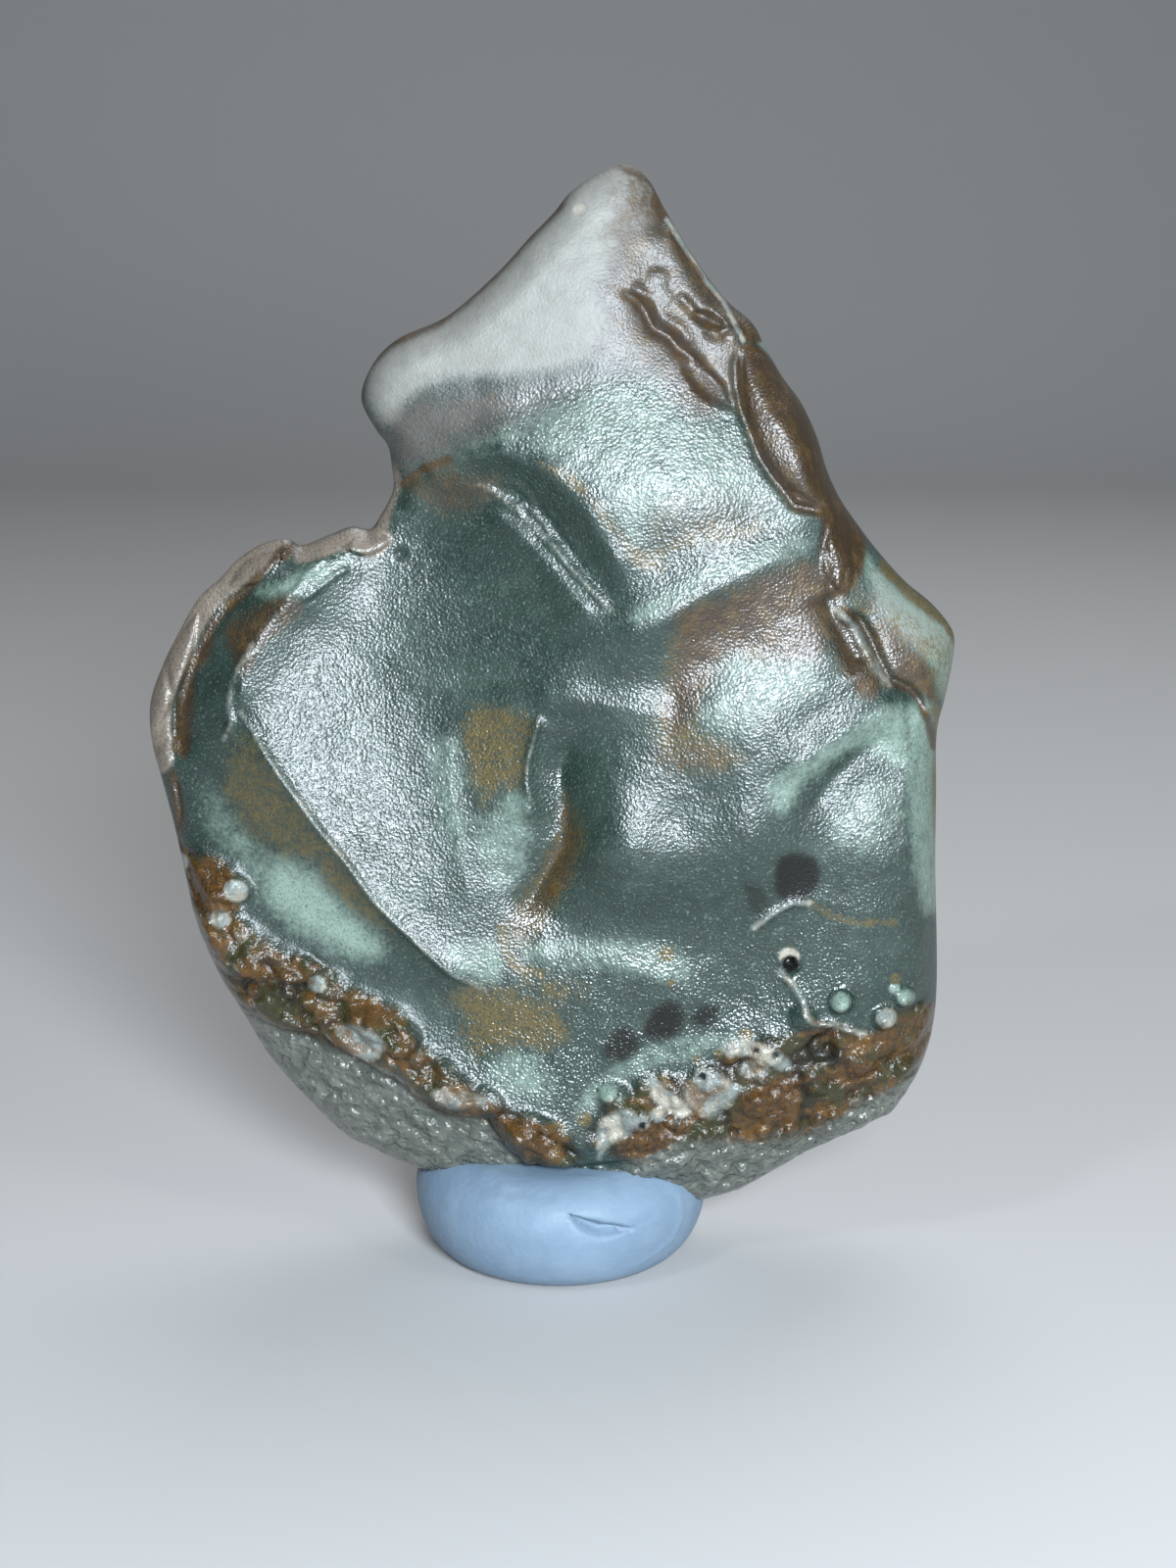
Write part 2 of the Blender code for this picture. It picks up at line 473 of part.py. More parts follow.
def slab_blank(outline):
    """The flat blank of the stone: the outline as a filled curve, stood upright."""
    curve = bpy.data.curves.new("stone_blank", "CURVE")
    curve.dimensions = "2D"
    curve.fill_mode = "BOTH"
    curve.extrude = SLAB_HALF * MM
    spline = curve.splines.new("POLY")
    spline.points.add(len(outline) - 1)
    for point, (x, z) in zip(spline.points, outline):
        point.co = (x * MM, z * MM, 0.0, 1.0)
    spline.use_cyclic_u = True
    drawn = bpy.data.objects.new("stone_blank_curve", curve)
    bpy.context.scene.collection.objects.link(drawn)
    mesh = evaluated_mesh(drawn)
    bpy.data.objects.remove(drawn, do_unlink=True)
    bm = bmesh.new()
    bm.from_mesh(mesh)
    bmesh.ops.remove_doubles(bm, verts=bm.verts, dist=0.00001)
    bmesh.ops.rotate(bm, verts=bm.verts, cent=(0, 0, 0), matrix=Matrix.Rotation(math.pi / 2.0, 3, "X"))
    bmesh.ops.recalc_face_normals(bm, faces=bm.faces)
    bm.to_mesh(mesh)
    bm.free()
    return mesh


def make_stone(parts):
    outline = smooth_loop(OUTLINE, OUTLINE_STEPS)
    stone = bpy.data.objects.new("agate_stone", slab_blank(outline))
    parts.objects.link(stone)
    mesh = remesh(stone, STONE_VOXEL)
    lay_relief(mesh, outline)
    triangles = sum(len(face.vertices) - 2 for face in mesh.polygons)
    thin = stone.modifiers.new("fewer_facets", "DECIMATE")
    thin.ratio = STONE_TRIANGLES / triangles
    mesh.shade_smooth()
    mesh.materials.append(material("agate_green", AGATE_GREEN))
    return stone


def foot_profile():
    """The foot's side from the top of the axis, round the bulge, to the middle of the base."""
    profile = [(0.0, FOOT_TOP_HEIGHT + 0.6), (FOOT_TOP_RADIUS * 0.6, FOOT_TOP_HEIGHT + 0.4)]
    for step in range(FOOT_PROFILE_STEPS + 1):
        turn = math.radians(90.0 * (1.0 - step / FOOT_PROFILE_STEPS))
        radius = FOOT_TOP_RADIUS + (FOOT_BULGE_RADIUS - FOOT_TOP_RADIUS) * math.cos(turn)
        height = FOOT_BULGE_HEIGHT + (FOOT_TOP_HEIGHT - FOOT_BULGE_HEIGHT) * math.sin(turn)
        profile.append((radius, height))
    for step in range(1, FOOT_PROFILE_STEPS + 1):
        turn = math.radians(90.0 * step / FOOT_PROFILE_STEPS)
        radius = FOOT_BASE_RADIUS + (FOOT_BULGE_RADIUS - FOOT_BASE_RADIUS) * math.cos(turn)
        profile.append((radius, FOOT_BULGE_HEIGHT * (1.0 - math.sin(turn))))
    profile.append((0.0, 0.0))
    return profile


def make_foot(parts, cutters, stone):
    profile = foot_profile()
    mesh = bpy.data.meshes.new("putty_foot")
    points = [(radius * MM, 0.0, height * MM) for radius, height in profile]
    edges = [(i, i + 1) for i in range(len(points) - 1)]
    mesh.from_pydata(points, edges, [])
    foot = bpy.data.objects.new("putty_foot", mesh)
    parts.objects.link(foot)
    turned = foot.modifiers.new("turned", "SCREW")
    turned.steps = turned.render_steps = FOOT_SIDES
    turned.use_merge_vertices = True
    turned.merge_threshold = 0.0001
    cut = foot.modifiers.new("pressed_seat", "BOOLEAN")
    cut.operation = "DIFFERENCE"
    cut.object = seat_cutter(cutters, stone)
    mesh.materials.append(material("putty_blue", PUTTY_BLUE))
    return foot


def seat_cutter(cutters, stone):
    """The stone, grown by the gap that it keeps from the putty."""
    cutter = bpy.data.objects.new("seat_cutter", evaluated_mesh(stone))
    cutters.objects.link(cutter)
    grow = cutter.modifiers.new("gap", "DISPLACE")
    grow.mid_level = 0.0
    grow.strength = SEAT_GAP * MM
    cutter.display_type = "WIRE"
    cutter.hide_render = True
    return cutter


def main():
    clear_scene()
    parts = collection("agate_on_putty")
    cutters = collection("cutters")
    stone = make_stone(parts)
    make_foot(parts, cutters, stone)


main()
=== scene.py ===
"""Looks of a worn agate stone that stands upright in a pressed lump of putty.

Sizes are in millimetres until a mesh is written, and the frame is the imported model's: +Z up, the
stone's hollowed front towards -Y, the origin under the middle of the putty. Landmarks and markings
are (x, z) places on a reading sheet that stands upright in front of the stone, and SightLine
carries them along the line of sight on to the stone.
"""

from __future__ import annotations

import logging
import math
import random
from dataclasses import dataclass, field
from enum import Enum

import bmesh
import bpy
import numpy as np
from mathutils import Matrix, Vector

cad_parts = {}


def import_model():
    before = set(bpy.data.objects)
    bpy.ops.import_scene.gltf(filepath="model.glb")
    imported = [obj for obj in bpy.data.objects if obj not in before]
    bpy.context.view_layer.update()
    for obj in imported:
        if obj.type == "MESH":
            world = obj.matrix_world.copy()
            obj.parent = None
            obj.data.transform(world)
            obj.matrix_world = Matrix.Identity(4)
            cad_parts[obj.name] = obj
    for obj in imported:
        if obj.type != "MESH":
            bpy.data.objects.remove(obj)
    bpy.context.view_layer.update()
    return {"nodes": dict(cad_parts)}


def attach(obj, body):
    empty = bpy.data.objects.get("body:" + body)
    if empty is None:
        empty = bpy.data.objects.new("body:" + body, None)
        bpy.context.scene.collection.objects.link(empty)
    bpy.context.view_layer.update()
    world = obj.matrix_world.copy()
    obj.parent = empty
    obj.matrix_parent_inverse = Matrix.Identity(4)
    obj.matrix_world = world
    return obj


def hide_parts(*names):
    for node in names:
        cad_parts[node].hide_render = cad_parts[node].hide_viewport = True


LOG = logging.getLogger("agate_on_putty")
MM = 0.001
BLOCK = 4000

Place = tuple[float, float]
Landmark = tuple[float, float, float]
Colour = tuple[float, float, float, float]


class Mark(Enum):
    """A kind of marking, held as one number per point of the stone's mesh."""

    PALE = "pale"
    # Grey-brown haze: the blade's own tone, and painted shade in the band under the blade.
    HAZE_AND_SHADE = "haze_and_shade"
    MINT = "mint"
    OCHRE = "ochre"
    # Brown: mostly the stone's own translucent brown, with painted shade under the blade and under the
    # hollow's arch.
    UMBER_AND_SHADE = "umber_and_shade"
    RUST = "rust"
    CREAM = "cream"
    CRUST = "crust"
    PEBBLE = "pebble"
    INK = "ink"
    SLICK = "slick"
    SATIN = "satin"
    LIP = "lip"
    BEAD = "bead"


@dataclass(frozen=True)
class Crest:
    """A ridge through landmarks, or a crease where its crispness is negative.

    The crisp part dies away within the reach on each side, and towards the line's two ends.
    """

    crispness: float
    reach: float
    points: tuple[Landmark, ...]


@dataclass(frozen=True)
class Scratch:
    """A fine line laid on the finished relief: raised, or cut where its height is negative."""

    height: float
    reach: float
    points: tuple[Place, ...]


@dataclass(frozen=True)
class Leaf:
    """A pointed oval swelling, or a pit where its height is negative."""

    x: float
    z: float
    half_length: float
    half_width: float
    turn: float
    height: float


@dataclass(frozen=True)
class Lump:
    """A round swelling, or a pit where its height is negative."""

    x: float
    z: float
    radius: float
    height: float


@dataclass(frozen=True)
class Patch:
    """A marking with an outline of a few given points and a soft edge."""

    mark: Mark
    strength: float
    softness: float
    outline: tuple[Place, ...]


@dataclass(frozen=True)
class Stroke:
    """A marking along a line."""

    mark: Mark
    strength: float
    half_width: float
    softness: float
    points: tuple[Place, ...]


@dataclass(frozen=True)
class Spot:
    """A round marking with a soft edge."""

    mark: Mark
    strength: float
    x: float
    z: float
    radius: float


@dataclass(frozen=True)
class RopeField:
    """A patch of the crust that is covered with rounded ropes."""

    outline: tuple[Place, ...]
    turn: float
    depth: float


@dataclass(frozen=True)
class Fold:
    """A fine fold of the putty's skin: raised, or pinched in where its height is negative."""

    height: float
    reach: float
    points: tuple[Place, ...]


@dataclass(frozen=True)
class Lamp:
    """A square soft light: its place and side in millimetres, its power in watts and its tint."""

    name: str
    place: tuple[float, float, float]
    side: float
    power: float
    tint: tuple[float, float, float]


@dataclass(frozen=True)
class Sprinkle:
    """Beads scattered with a fixed seed over a patch of the stone."""

    seed: int
    count: int
    radii: tuple[float, float]
    heights: tuple[float, float]
    outline: tuple[Place, ...]
    stretch: float = 1.0
    turn: float = 0.0


# The stone's outline from the front, clockwise from the peak.
OUTLINE: tuple[Place, ...] = (
    (5.4, 94.1), (7.2, 93.0), (8.7, 90.4), (10.3, 87.8), (12.0, 85.3), (13.8, 83.1), (15.9, 81.3),
    (17.0, 79.3), (18.5, 76.8), (20.0, 74.8), (21.3, 72.1), (22.2, 69.3), (23.4, 66.8), (25.0, 64.5),
    (26.8, 62.2), (29.0, 59.8), (31.4, 57.8), (33.1, 55.6), (33.2, 53.6), (32.7, 50.4), (32.0, 47.0),
    (32.1, 42.0), (32.2, 36.0), (32.5, 30.0), (32.7, 24.6), (32.5, 20.8), (31.8, 17.9), (30.7, 15.3),
    (29.2, 13.0), (26.2, 11.3), (23.4, 10.1), (20.2, 8.4), (17.6, 6.6), (14.6, 5.1), (9.0, 4.3),
    (2.0, 4.2), (-5.0, 5.2), (-12.5, 7.5), (-16.1, 9.0), (-19.0, 10.5), (-22.4, 14.0), (-25.5, 17.8),
    (-27.6, 21.8), (-29.8, 25.8), (-31.3, 29.8), (-32.1, 33.6), (-33.1, 38.8), (-34.0, 42.8),
    (-34.7, 46.0), (-34.7, 49.4), (-33.5, 52.7), (-32.0, 55.6), (-30.3, 58.4), (-28.5, 60.0),
    (-27.0, 61.6), (-25.0, 62.9), (-22.8, 63.4), (-21.6, 62.8), (-19.3, 63.7), (-17.3, 64.4),
    (-15.9, 64.1), (-14.9, 65.4), (-13.8, 67.6), (-13.9, 69.6), (-14.2, 71.3), (-15.2, 72.7),
    (-16.3, 75.2), (-15.3, 78.0), (-13.1, 80.1), (-9.1, 81.9), (-5.0, 85.4), (-2.4, 88.2),
    (-0.4, 90.2), (1.0, 91.9), (3.2, 93.3),
)

# The ridges and creases that the front is built on, by name.
CRESTS: dict[str, Crest] = {
    "blade_edge": Crest(0.7, 0.9, (
        (8.0, 90.3, 2.6), (9.8, 87.2, 3.2), (11.6, 84.6, 3.8), (13.2, 82.6, 4.2), (14.3, 80.4, 4.4),
    )),
    "blade_valley": Crest(-0.15, 1.2, (
        (-12.5, 72.8, 3.0), (-7.0, 74.4, 4.6), (-2.0, 75.8, 5.7), (4.0, 77.8, 5.8),
    )),
    "plateau_edge": Crest(0.6, 1.2, (
        (-9.5, 71.2, 4.2), (-4.5, 71.9, 6.7), (-0.5, 70.0, 7.9), (2.4, 66.8, 8.8), (4.6, 63.2, 9.1),
        (5.8, 60.4, 9.0),
    )),
    "wall_fold": Crest(0.6, 1.2, (
        (-6.0, 67.7, 4.4), (-3.1, 65.1, 5.7), (-0.7, 62.6, 6.8), (1.3, 60.0, 7.8), (3.0, 57.7, 8.8),
    )),
    "fold_crease": Crest(-0.4, 0.7, (
        (-4.2, 69.6, 3.9), (-1.2, 67.0, 5.1), (1.2, 64.4, 6.2), (3.0, 62.0, 7.3), (4.6, 59.8, 8.4),
    )),
    "band_crest": Crest(0.45, 1.6, (
        (3.9, 57.4, 9.1), (6.2, 57.2, 9.8), (9.2, 58.7, 9.9), (12.6, 60.7, 9.6), (16.4, 62.7, 8.8),
        (20.0, 64.4, 7.7),
    )),
    "hollow_rim": Crest(0.5, 0.9, (
        (-26.3, 50.3, 5.0), (-25.9, 53.4, 4.9), (-24.4, 56.8, 4.7), (-22.0, 59.8, 4.2), (-18.8, 61.9, 3.4),
    )),
    "knife_ridge": Crest(0.7, 1.2, (
        (-26.2, 50.2, 5.2), (-23.3, 45.0, 6.2), (-20.0, 40.2, 6.9), (-15.0, 34.0, 7.6), (-10.0, 28.8, 8.3),
        (-6.0, 26.7, 8.5),
    )),
    "trough": Crest(0.0, 1.0, (
        (-15.5, 61.5, 1.9), (-17.4, 56.5, 3.0), (-16.2, 50.5, 4.4), (-14.0, 44.8, 5.6), (-11.6, 39.0, 6.7),
        (-9.2, 33.0, 7.6), (-7.4, 29.4, 8.0),
    )),
    "trough_edge": Crest(0.12, 0.8, (
        (-9.4, 49.5, 5.0), (-9.0, 44.0, 5.9), (-8.3, 38.5, 6.9), (-7.2, 33.5, 7.7),
    )),
    "centre_ridge": Crest(0.3, 1.4, (
        (-2.5, 51.6, 7.2), (0.5, 51.4, 8.2), (3.5, 51.0, 8.8), (6.5, 50.6, 9.0), (9.6, 50.0, 9.3),
    )),
    "centre_valley": Crest(-0.8, 1.4, (
        (1.2, 48.6, 6.8), (0.2, 45.6, 6.2), (0.6, 42.0, 6.5), (0.4, 38.8, 6.9), (-1.6, 35.6, 7.1),
        (-3.6, 32.2, 7.5),
    )),
    "valley_edge": Crest(0.5, 0.7, (
        (-1.5, 50.5, 7.3), (-2.5, 46.6, 7.2), (-2.6, 43.6, 7.5), (-2.4, 40.6, 7.7),
    )),
    "lower_band": Crest(0.2, 1.6, ((-3.0, 29.4, 8.2), (2.0, 29.2, 8.5), (6.0, 28.4, 8.8), (10.0, 26.8, 9.1))),
    "diagonal_ridge": Crest(0.45, 1.4, (
        (28.2, 50.9, 7.4), (26.6, 50.2, 8.2), (24.2, 48.8, 9.1), (21.4, 46.8, 10.0), (18.4, 44.9, 10.5),
    )),
    "diagonal_valley": Crest(-0.5, 1.0, (
        (27.4, 48.8, 6.9), (25.0, 47.3, 7.7), (22.6, 45.0, 8.4), (20.8, 42.0, 9.0),
    )),
    "shoulder_valley": Crest(-0.15, 1.6, ((24.2, 52.6, 8.3), (21.4, 50.4, 9.3), (18.4, 48.2, 10.1))),
    "right_arris": Crest(0.4, 0.9, (
        (29.0, 50.0, 6.6), (28.9, 44.0, 7.6), (28.8, 38.6, 8.4), (28.7, 32.0, 8.0), (28.8, 26.0, 7.6),
    )),
    "vein_crease": Crest(0.1, 0.6, (
        (15.2, 31.6, 8.8), (18.0, 33.3, 8.9), (20.2, 34.6, 8.8), (23.0, 34.0, 8.7), (28.0, 32.7, 8.2),
    )),
    "left_groove": Crest(-1.0, 1.0, (
        (-31.2, 46.0, 2.2), (-30.9, 50.5, 2.2), (-29.3, 55.2, 2.1), (-26.8, 59.2, 2.0), (-23.2, 61.6, 2.0),
    )),
    "neck_crease": Crest(-0.6, 0.6, ((-13.4, 66.8, 1.8), (-12.4, 69.2, 2.4), (-10.2, 70.6, 3.2))),
    "wrinkle": Crest(-0.6, 0.7, (
        (6.6, 84.6, 4.2), (7.4, 82.4, 4.4), (8.9, 80.9, 4.8), (10.2, 79.8, 5.0), (11.4, 78.2, 5.4),
    )),
    "upper_groove": Crest(-1.0, 0.8, (
        (21.6, 60.6, 7.4), (22.4, 58.2, 7.8), (23.6, 56.0, 8.0), (24.9, 53.8, 8.2),
    )),
    "tip_groove": Crest(-1.0, 0.7, (
        (23.8, 59.2, 6.4), (25.4, 56.4, 6.8), (26.9, 53.2, 7.1), (28.6, 51.9, 6.4), (30.2, 50.4, 5.2),
    )),
    "ledge_crest": Crest(0.4, 1.4, (
        (-31.0, 36.5, 3.2), (-29.6, 32.4, 4.0), (-26.6, 28.2, 5.0), (-22.0, 25.4, 6.4), (-16.0, 22.2, 7.8),
        (-11.0, 18.6, 8.6), (-6.0, 16.4, 9.1), (-2.5, 12.6, 9.5), (2.0, 12.2, 9.6),
    )),
}

# Places between the ridges: (x, z, height).
LEVELS: tuple[Landmark, ...] = (
    # the pale blade at the top
    (4.6, 91.6, 2.6), (0.5, 88.6, 3.6), (-3.6, 83.0, 4.4), (2.4, 84.0, 5.0), (5.2, 87.6, 3.8),
    (8.4, 86.4, 3.0), (-9.4, 79.2, 3.9), (-1.6, 80.6, 5.0), (-13.4, 76.4, 3.8), (-9.4, 76.2, 4.9),
    (-4.6, 77.4, 5.4), (0.6, 78.8, 5.6), (-15.0, 74.6, 2.6),
    # the plateau below it
    (-5.0, 73.4, 6.1), (-1.0, 74.0, 6.8), (1.6, 71.4, 7.6), (6.2, 74.6, 6.8), (5.0, 69.4, 8.4),
    (9.4, 71.4, 7.8), (8.2, 67.4, 8.9), (12.4, 69.4, 8.1), (12.4, 66.9, 8.7), (12.2, 74.2, 6.4),
    (16.4, 69.6, 7.2), (7.2, 65.0, 8.7), (8.2, 62.8, 8.5), (12.6, 64.6, 8.4), (16.8, 67.2, 7.6),
    (16.8, 65.3, 7.5), (19.8, 67.6, 7.4), (19.6, 72.4, 6.5), (13.6, 78.6, 4.4), (15.2, 74.0, 6.0),
    # the hollow's upper wall and floor
    (-9.4, 67.4, 2.2), (-12.6, 65.6, 1.5), (-7.4, 63.6, 3.2), (-3.6, 60.8, 4.8), (-0.6, 57.2, 6.6),
    (-9.6, 56.6, 3.9), (-6.2, 52.6, 5.6), (-22.0, 54.6, 3.9), (-20.4, 48.0, 5.2),
    (-23.8, 51.6, 4.6), (-20.4, 57.6, 2.9), (-17.4, 41.6, 6.6), (-13.2, 35.6, 7.5),
    (-6.2, 47.0, 6.0), (-5.6, 40.6, 7.0), (-5.2, 34.6, 7.7), (-12.6, 59.6, 2.7), (-4.6, 56.6, 5.4),
    # the bevel below the knife ridge
    (-28.4, 46.0, 3.8), (-25.6, 41.0, 4.6), (-22.4, 35.6, 5.2), (-17.2, 30.2, 6.2), (-12.2, 25.4, 7.2),
    (-28.6, 39.4, 3.4), (-24.6, 32.4, 4.4), (-18.6, 27.0, 5.8), (-8.0, 21.6, 8.0), (-2.6, 23.6, 8.6),
    # the knob and the ground right of it
    (3.0, 42.4, 9.7), (3.4, 38.4, 10.9), (5.4, 41.6, 10.5), (5.4, 44.4, 9.6), (6.0, 38.8, 11.2),
    (9.0, 41.4, 9.8), (9.4, 38.2, 10.7), (2.4, 45.4, 8.6), (5.6, 34.4, 9.7), (12.4, 34.6, 9.4),
    (8.0, 31.4, 8.2), (1.2, 31.4, 7.8), (13.6, 31.2, 8.5), (8.6, 52.7, 8.3), (3.6, 52.8, 7.8),
    (12.6, 54.6, 8.6), (6.0, 47.4, 9.1), (17.6, 59.2, 8.4), (11.6, 50.0, 10.0), (15.4, 52.0, 10.0),
    (20.0, 55.4, 8.6), (16.0, 56.2, 8.4), (12.0, 45.4, 10.0), (13.2, 42.0, 10.2), (16.0, 43.6, 10.6),
    (16.0, 40.0, 11.4), (17.4, 37.0, 10.0), (20.6, 36.0, 8.6), (12.6, 58.4, 8.8), (21.6, 57.6, 8.4),
    (22.6, 54.6, 8.8),
    # the facets down the right side
    (26.6, 45.6, 7.5), (24.6, 42.4, 8.5), (24.6, 39.4, 9.2), (27.4, 39.0, 8.7), (24.6, 35.4, 8.8),
    (24.4, 29.6, 8.4), (18.6, 28.4, 8.5), (15.6, 25.4, 8.3), (30.4, 44.0, 4.6), (30.6, 34.0, 4.8),
    (30.8, 26.0, 4.8), (30.6, 55.6, 4.8), (28.0, 57.4, 5.4), (31.2, 52.8, 4.8), (25.2, 61.0, 5.2),
    (23.2, 64.0, 5.4), (26.6, 51.6, 7.8), (29.4, 53.4, 5.8),
    # the foot of the stone and the crust
    (1.6, 26.0, 8.9), (6.2, 25.4, 8.8), (1.6, 22.4, 9.0), (7.4, 22.0, 8.8), (-1.6, 17.6, 9.3),
    (4.4, 16.4, 9.1), (11.4, 18.6, 9.0), (18.4, 20.4, 9.2), (24.6, 21.6, 8.2), (29.0, 20.6, 6.0),
    (9.4, 13.4, 9.4), (16.4, 15.2, 8.4), (23.4, 16.8, 7.0), (28.0, 15.4, 4.4), (22.6, 12.4, 4.4),
    (16.0, 9.4, 4.8), (9.0, 7.4, 5.4), (1.0, 7.2, 6.6), (-7.0, 9.4, 6.4), (-14.6, 12.6, 5.0),
    (-20.4, 16.4, 4.0), (-25.4, 21.6, 3.2), (-30.2, 30.0, 2.6), (-32.4, 38.0, 1.8), (-33.2, 46.0, 1.6),
    (-32.4, 51.0, 1.6), (-29.0, 58.0, 1.6),
)

# The weathered back: (x, z, depth behind the rim).
BACK_LEVELS: tuple[Landmark, ...] = (
    (4.5, 91.0, 2.0), (0.0, 84.0, 4.4), (-9.0, 78.0, 3.6), (-14.6, 75.0, 2.4), (10.0, 82.0, 4.0),
    (2.0, 74.0, 6.6), (12.0, 70.0, 7.0), (19.6, 71.0, 3.6), (-8.0, 66.0, 5.2), (4.0, 62.0, 9.0),
    (-20.0, 56.0, 5.6), (-31.0, 50.0, 2.2), (-10.0, 50.0, 9.0), (8.0, 48.0, 10.6), (20.0, 58.0, 7.6),
    (30.0, 54.0, 3.2), (26.0, 42.0, 7.4), (-26.0, 40.0, 5.8), (-12.0, 34.0, 9.8), (6.0, 32.0, 10.2),
    (20.0, 30.0, 9.4), (30.0, 28.0, 4.4), (-24.0, 26.0, 5.6), (-8.0, 20.0, 9.2), (10.0, 18.0, 9.0),
    (24.0, 17.0, 6.2), (-18.0, 14.0, 4.8), (0.0, 9.0, 6.6), (14.0, 9.4, 5.4), (-8.0, 9.6, 5.6),
)

# The crust's lower edge, below which the stone steps back into a dimpled underside.
LEDGE_EDGE: tuple[Place, ...] = (
    (-27.5, 24.8), (-22.5, 23.1), (-20.0, 22.5), (-17.0, 20.4), (-14.3, 18.9), (-11.6, 16.6),
    (-9.4, 15.3), (-6.0, 15.0), (-4.3, 12.4), (-2.6, 10.8), (1.5, 10.6), (5.5, 11.2), (10.0, 11.8),
)

LEAVES: tuple[Leaf, ...] = (
    Leaf(18.7, 73.5, 7.4, 3.0, -60.0, 1.15),
    Leaf(11.9, 77.2, 2.9, 0.9, -42.0, -0.9),
    Leaf(12.0, 82.4, 1.6, 0.7, -20.0, -0.7),
    Leaf(22.6, 62.8, 2.6, 1.3, -75.0, 0.9),
    Leaf(-24.6, 62.2, 2.6, 1.0, 32.0, 0.8),
    Leaf(-31.9, 53.0, 6.4, 1.1, 66.0, 0.9),
    Leaf(-15.4, 64.4, 1.9, 0.9, 8.0, 1.0),
    Leaf(-32.7, 46.4, 1.3, 1.0, 70.0, 0.7),
)

# Round lumps and pits that stand well out of the crust.
LUMPS: tuple[Lump, ...] = (
    Lump(-28.7, 34.6, 1.5, 0.9), Lump(-30.4, 33.0, 1.4, 0.7), Lump(-29.2, 31.2, 1.6, 0.9),
    Lump(-26.2, 29.0, 1.5, 0.7), Lump(-23.0, 27.0, 1.6, 0.8), Lump(-19.8, 26.0, 1.5, 0.9),
    Lump(-16.4, 23.6, 1.8, 0.9), Lump(-13.2, 22.2, 1.7, 0.8), Lump(-9.2, 17.2, 2.0, 0.9),
    Lump(-6.2, 16.4, 1.6, 0.7), Lump(-3.2, 13.2, 1.8, 0.7), Lump(4.6, 16.8, 1.5, 0.8),
    Lump(6.6, 15.0, 1.6, 0.8), Lump(9.6, 17.2, 1.5, 0.7), Lump(12.6, 18.2, 1.9, 0.7),
    Lump(17.6, 20.8, 1.6, 0.8), Lump(20.6, 24.0, 1.3, 0.8), Lump(23.8, 25.4, 1.2, 0.9),
    Lump(27.4, 24.0, 1.3, 0.9), Lump(28.9, 25.8, 1.0, 0.8), Lump(25.6, 20.0, 1.6, 0.8),
    Lump(21.4, 18.2, 1.6, 0.8), Lump(16.6, 16.4, 1.6, 0.8), Lump(29.6, 19.4, 1.5, 0.7),
    Lump(22.2, 21.2, 1.5, -1.2), Lump(19.2, 28.4, 0.9, -0.8),
)

# Lines that are both raised or cut and coloured.
WALL_WRINKLE: tuple[Place, ...] = (
    (-6.5, 69.5), (-3.9, 67.7), (-2.2, 66.3), (-0.5, 64.3), (1.2, 62.3), (2.9, 60.5), (4.3, 58.8),
)
KNIFE_EDGE: tuple[Place, ...] = (
    (-26.1, 50.4), (-24.3, 47.3), (-22.4, 44.3), (-20.1, 40.9), (-17.8, 37.9), (-15.6, 34.5), (-13.3, 32.0),
    (-10.9, 29.6), (-8.9, 27.7), (-6.2, 26.4),
)
VALLEY_RIM: tuple[Place, ...] = ((-1.5, 50.5), (-2.1, 48.2), (-2.6, 46.2), (-2.7, 44.5), (-2.2, 42.6))
LIP_FOLD: tuple[Place, ...] = (
    (-24.9, 56.2), (-26.1, 54.4), (-26.8, 52.7), (-27.1, 50.9), (-26.9, 49.7), (-27.5, 48.2),
)
TIP_RIDGE: tuple[Place, ...] = ((22.4, 59.1), (24.1, 57.6), (24.8, 56.1), (25.9, 54.4), (27.1, 52.6))
TIP_CREASE: tuple[Place, ...] = (
    (23.2, 59.1), (24.7, 57.9), (25.6, 56.4), (26.2, 54.7), (27.1, 53.0), (28.9, 52.3), (29.6, 51.4),
    (30.4, 49.6),
)
CREAM_VEIN: tuple[Place, ...] = (
    (18.6, 28.2), (19.2, 27.4), (20.0, 26.4), (20.6, 25.2), (20.9, 24.0), (21.5, 23.4), (23.2, 23.3),
    (24.6, 22.8), (25.8, 22.5),
)

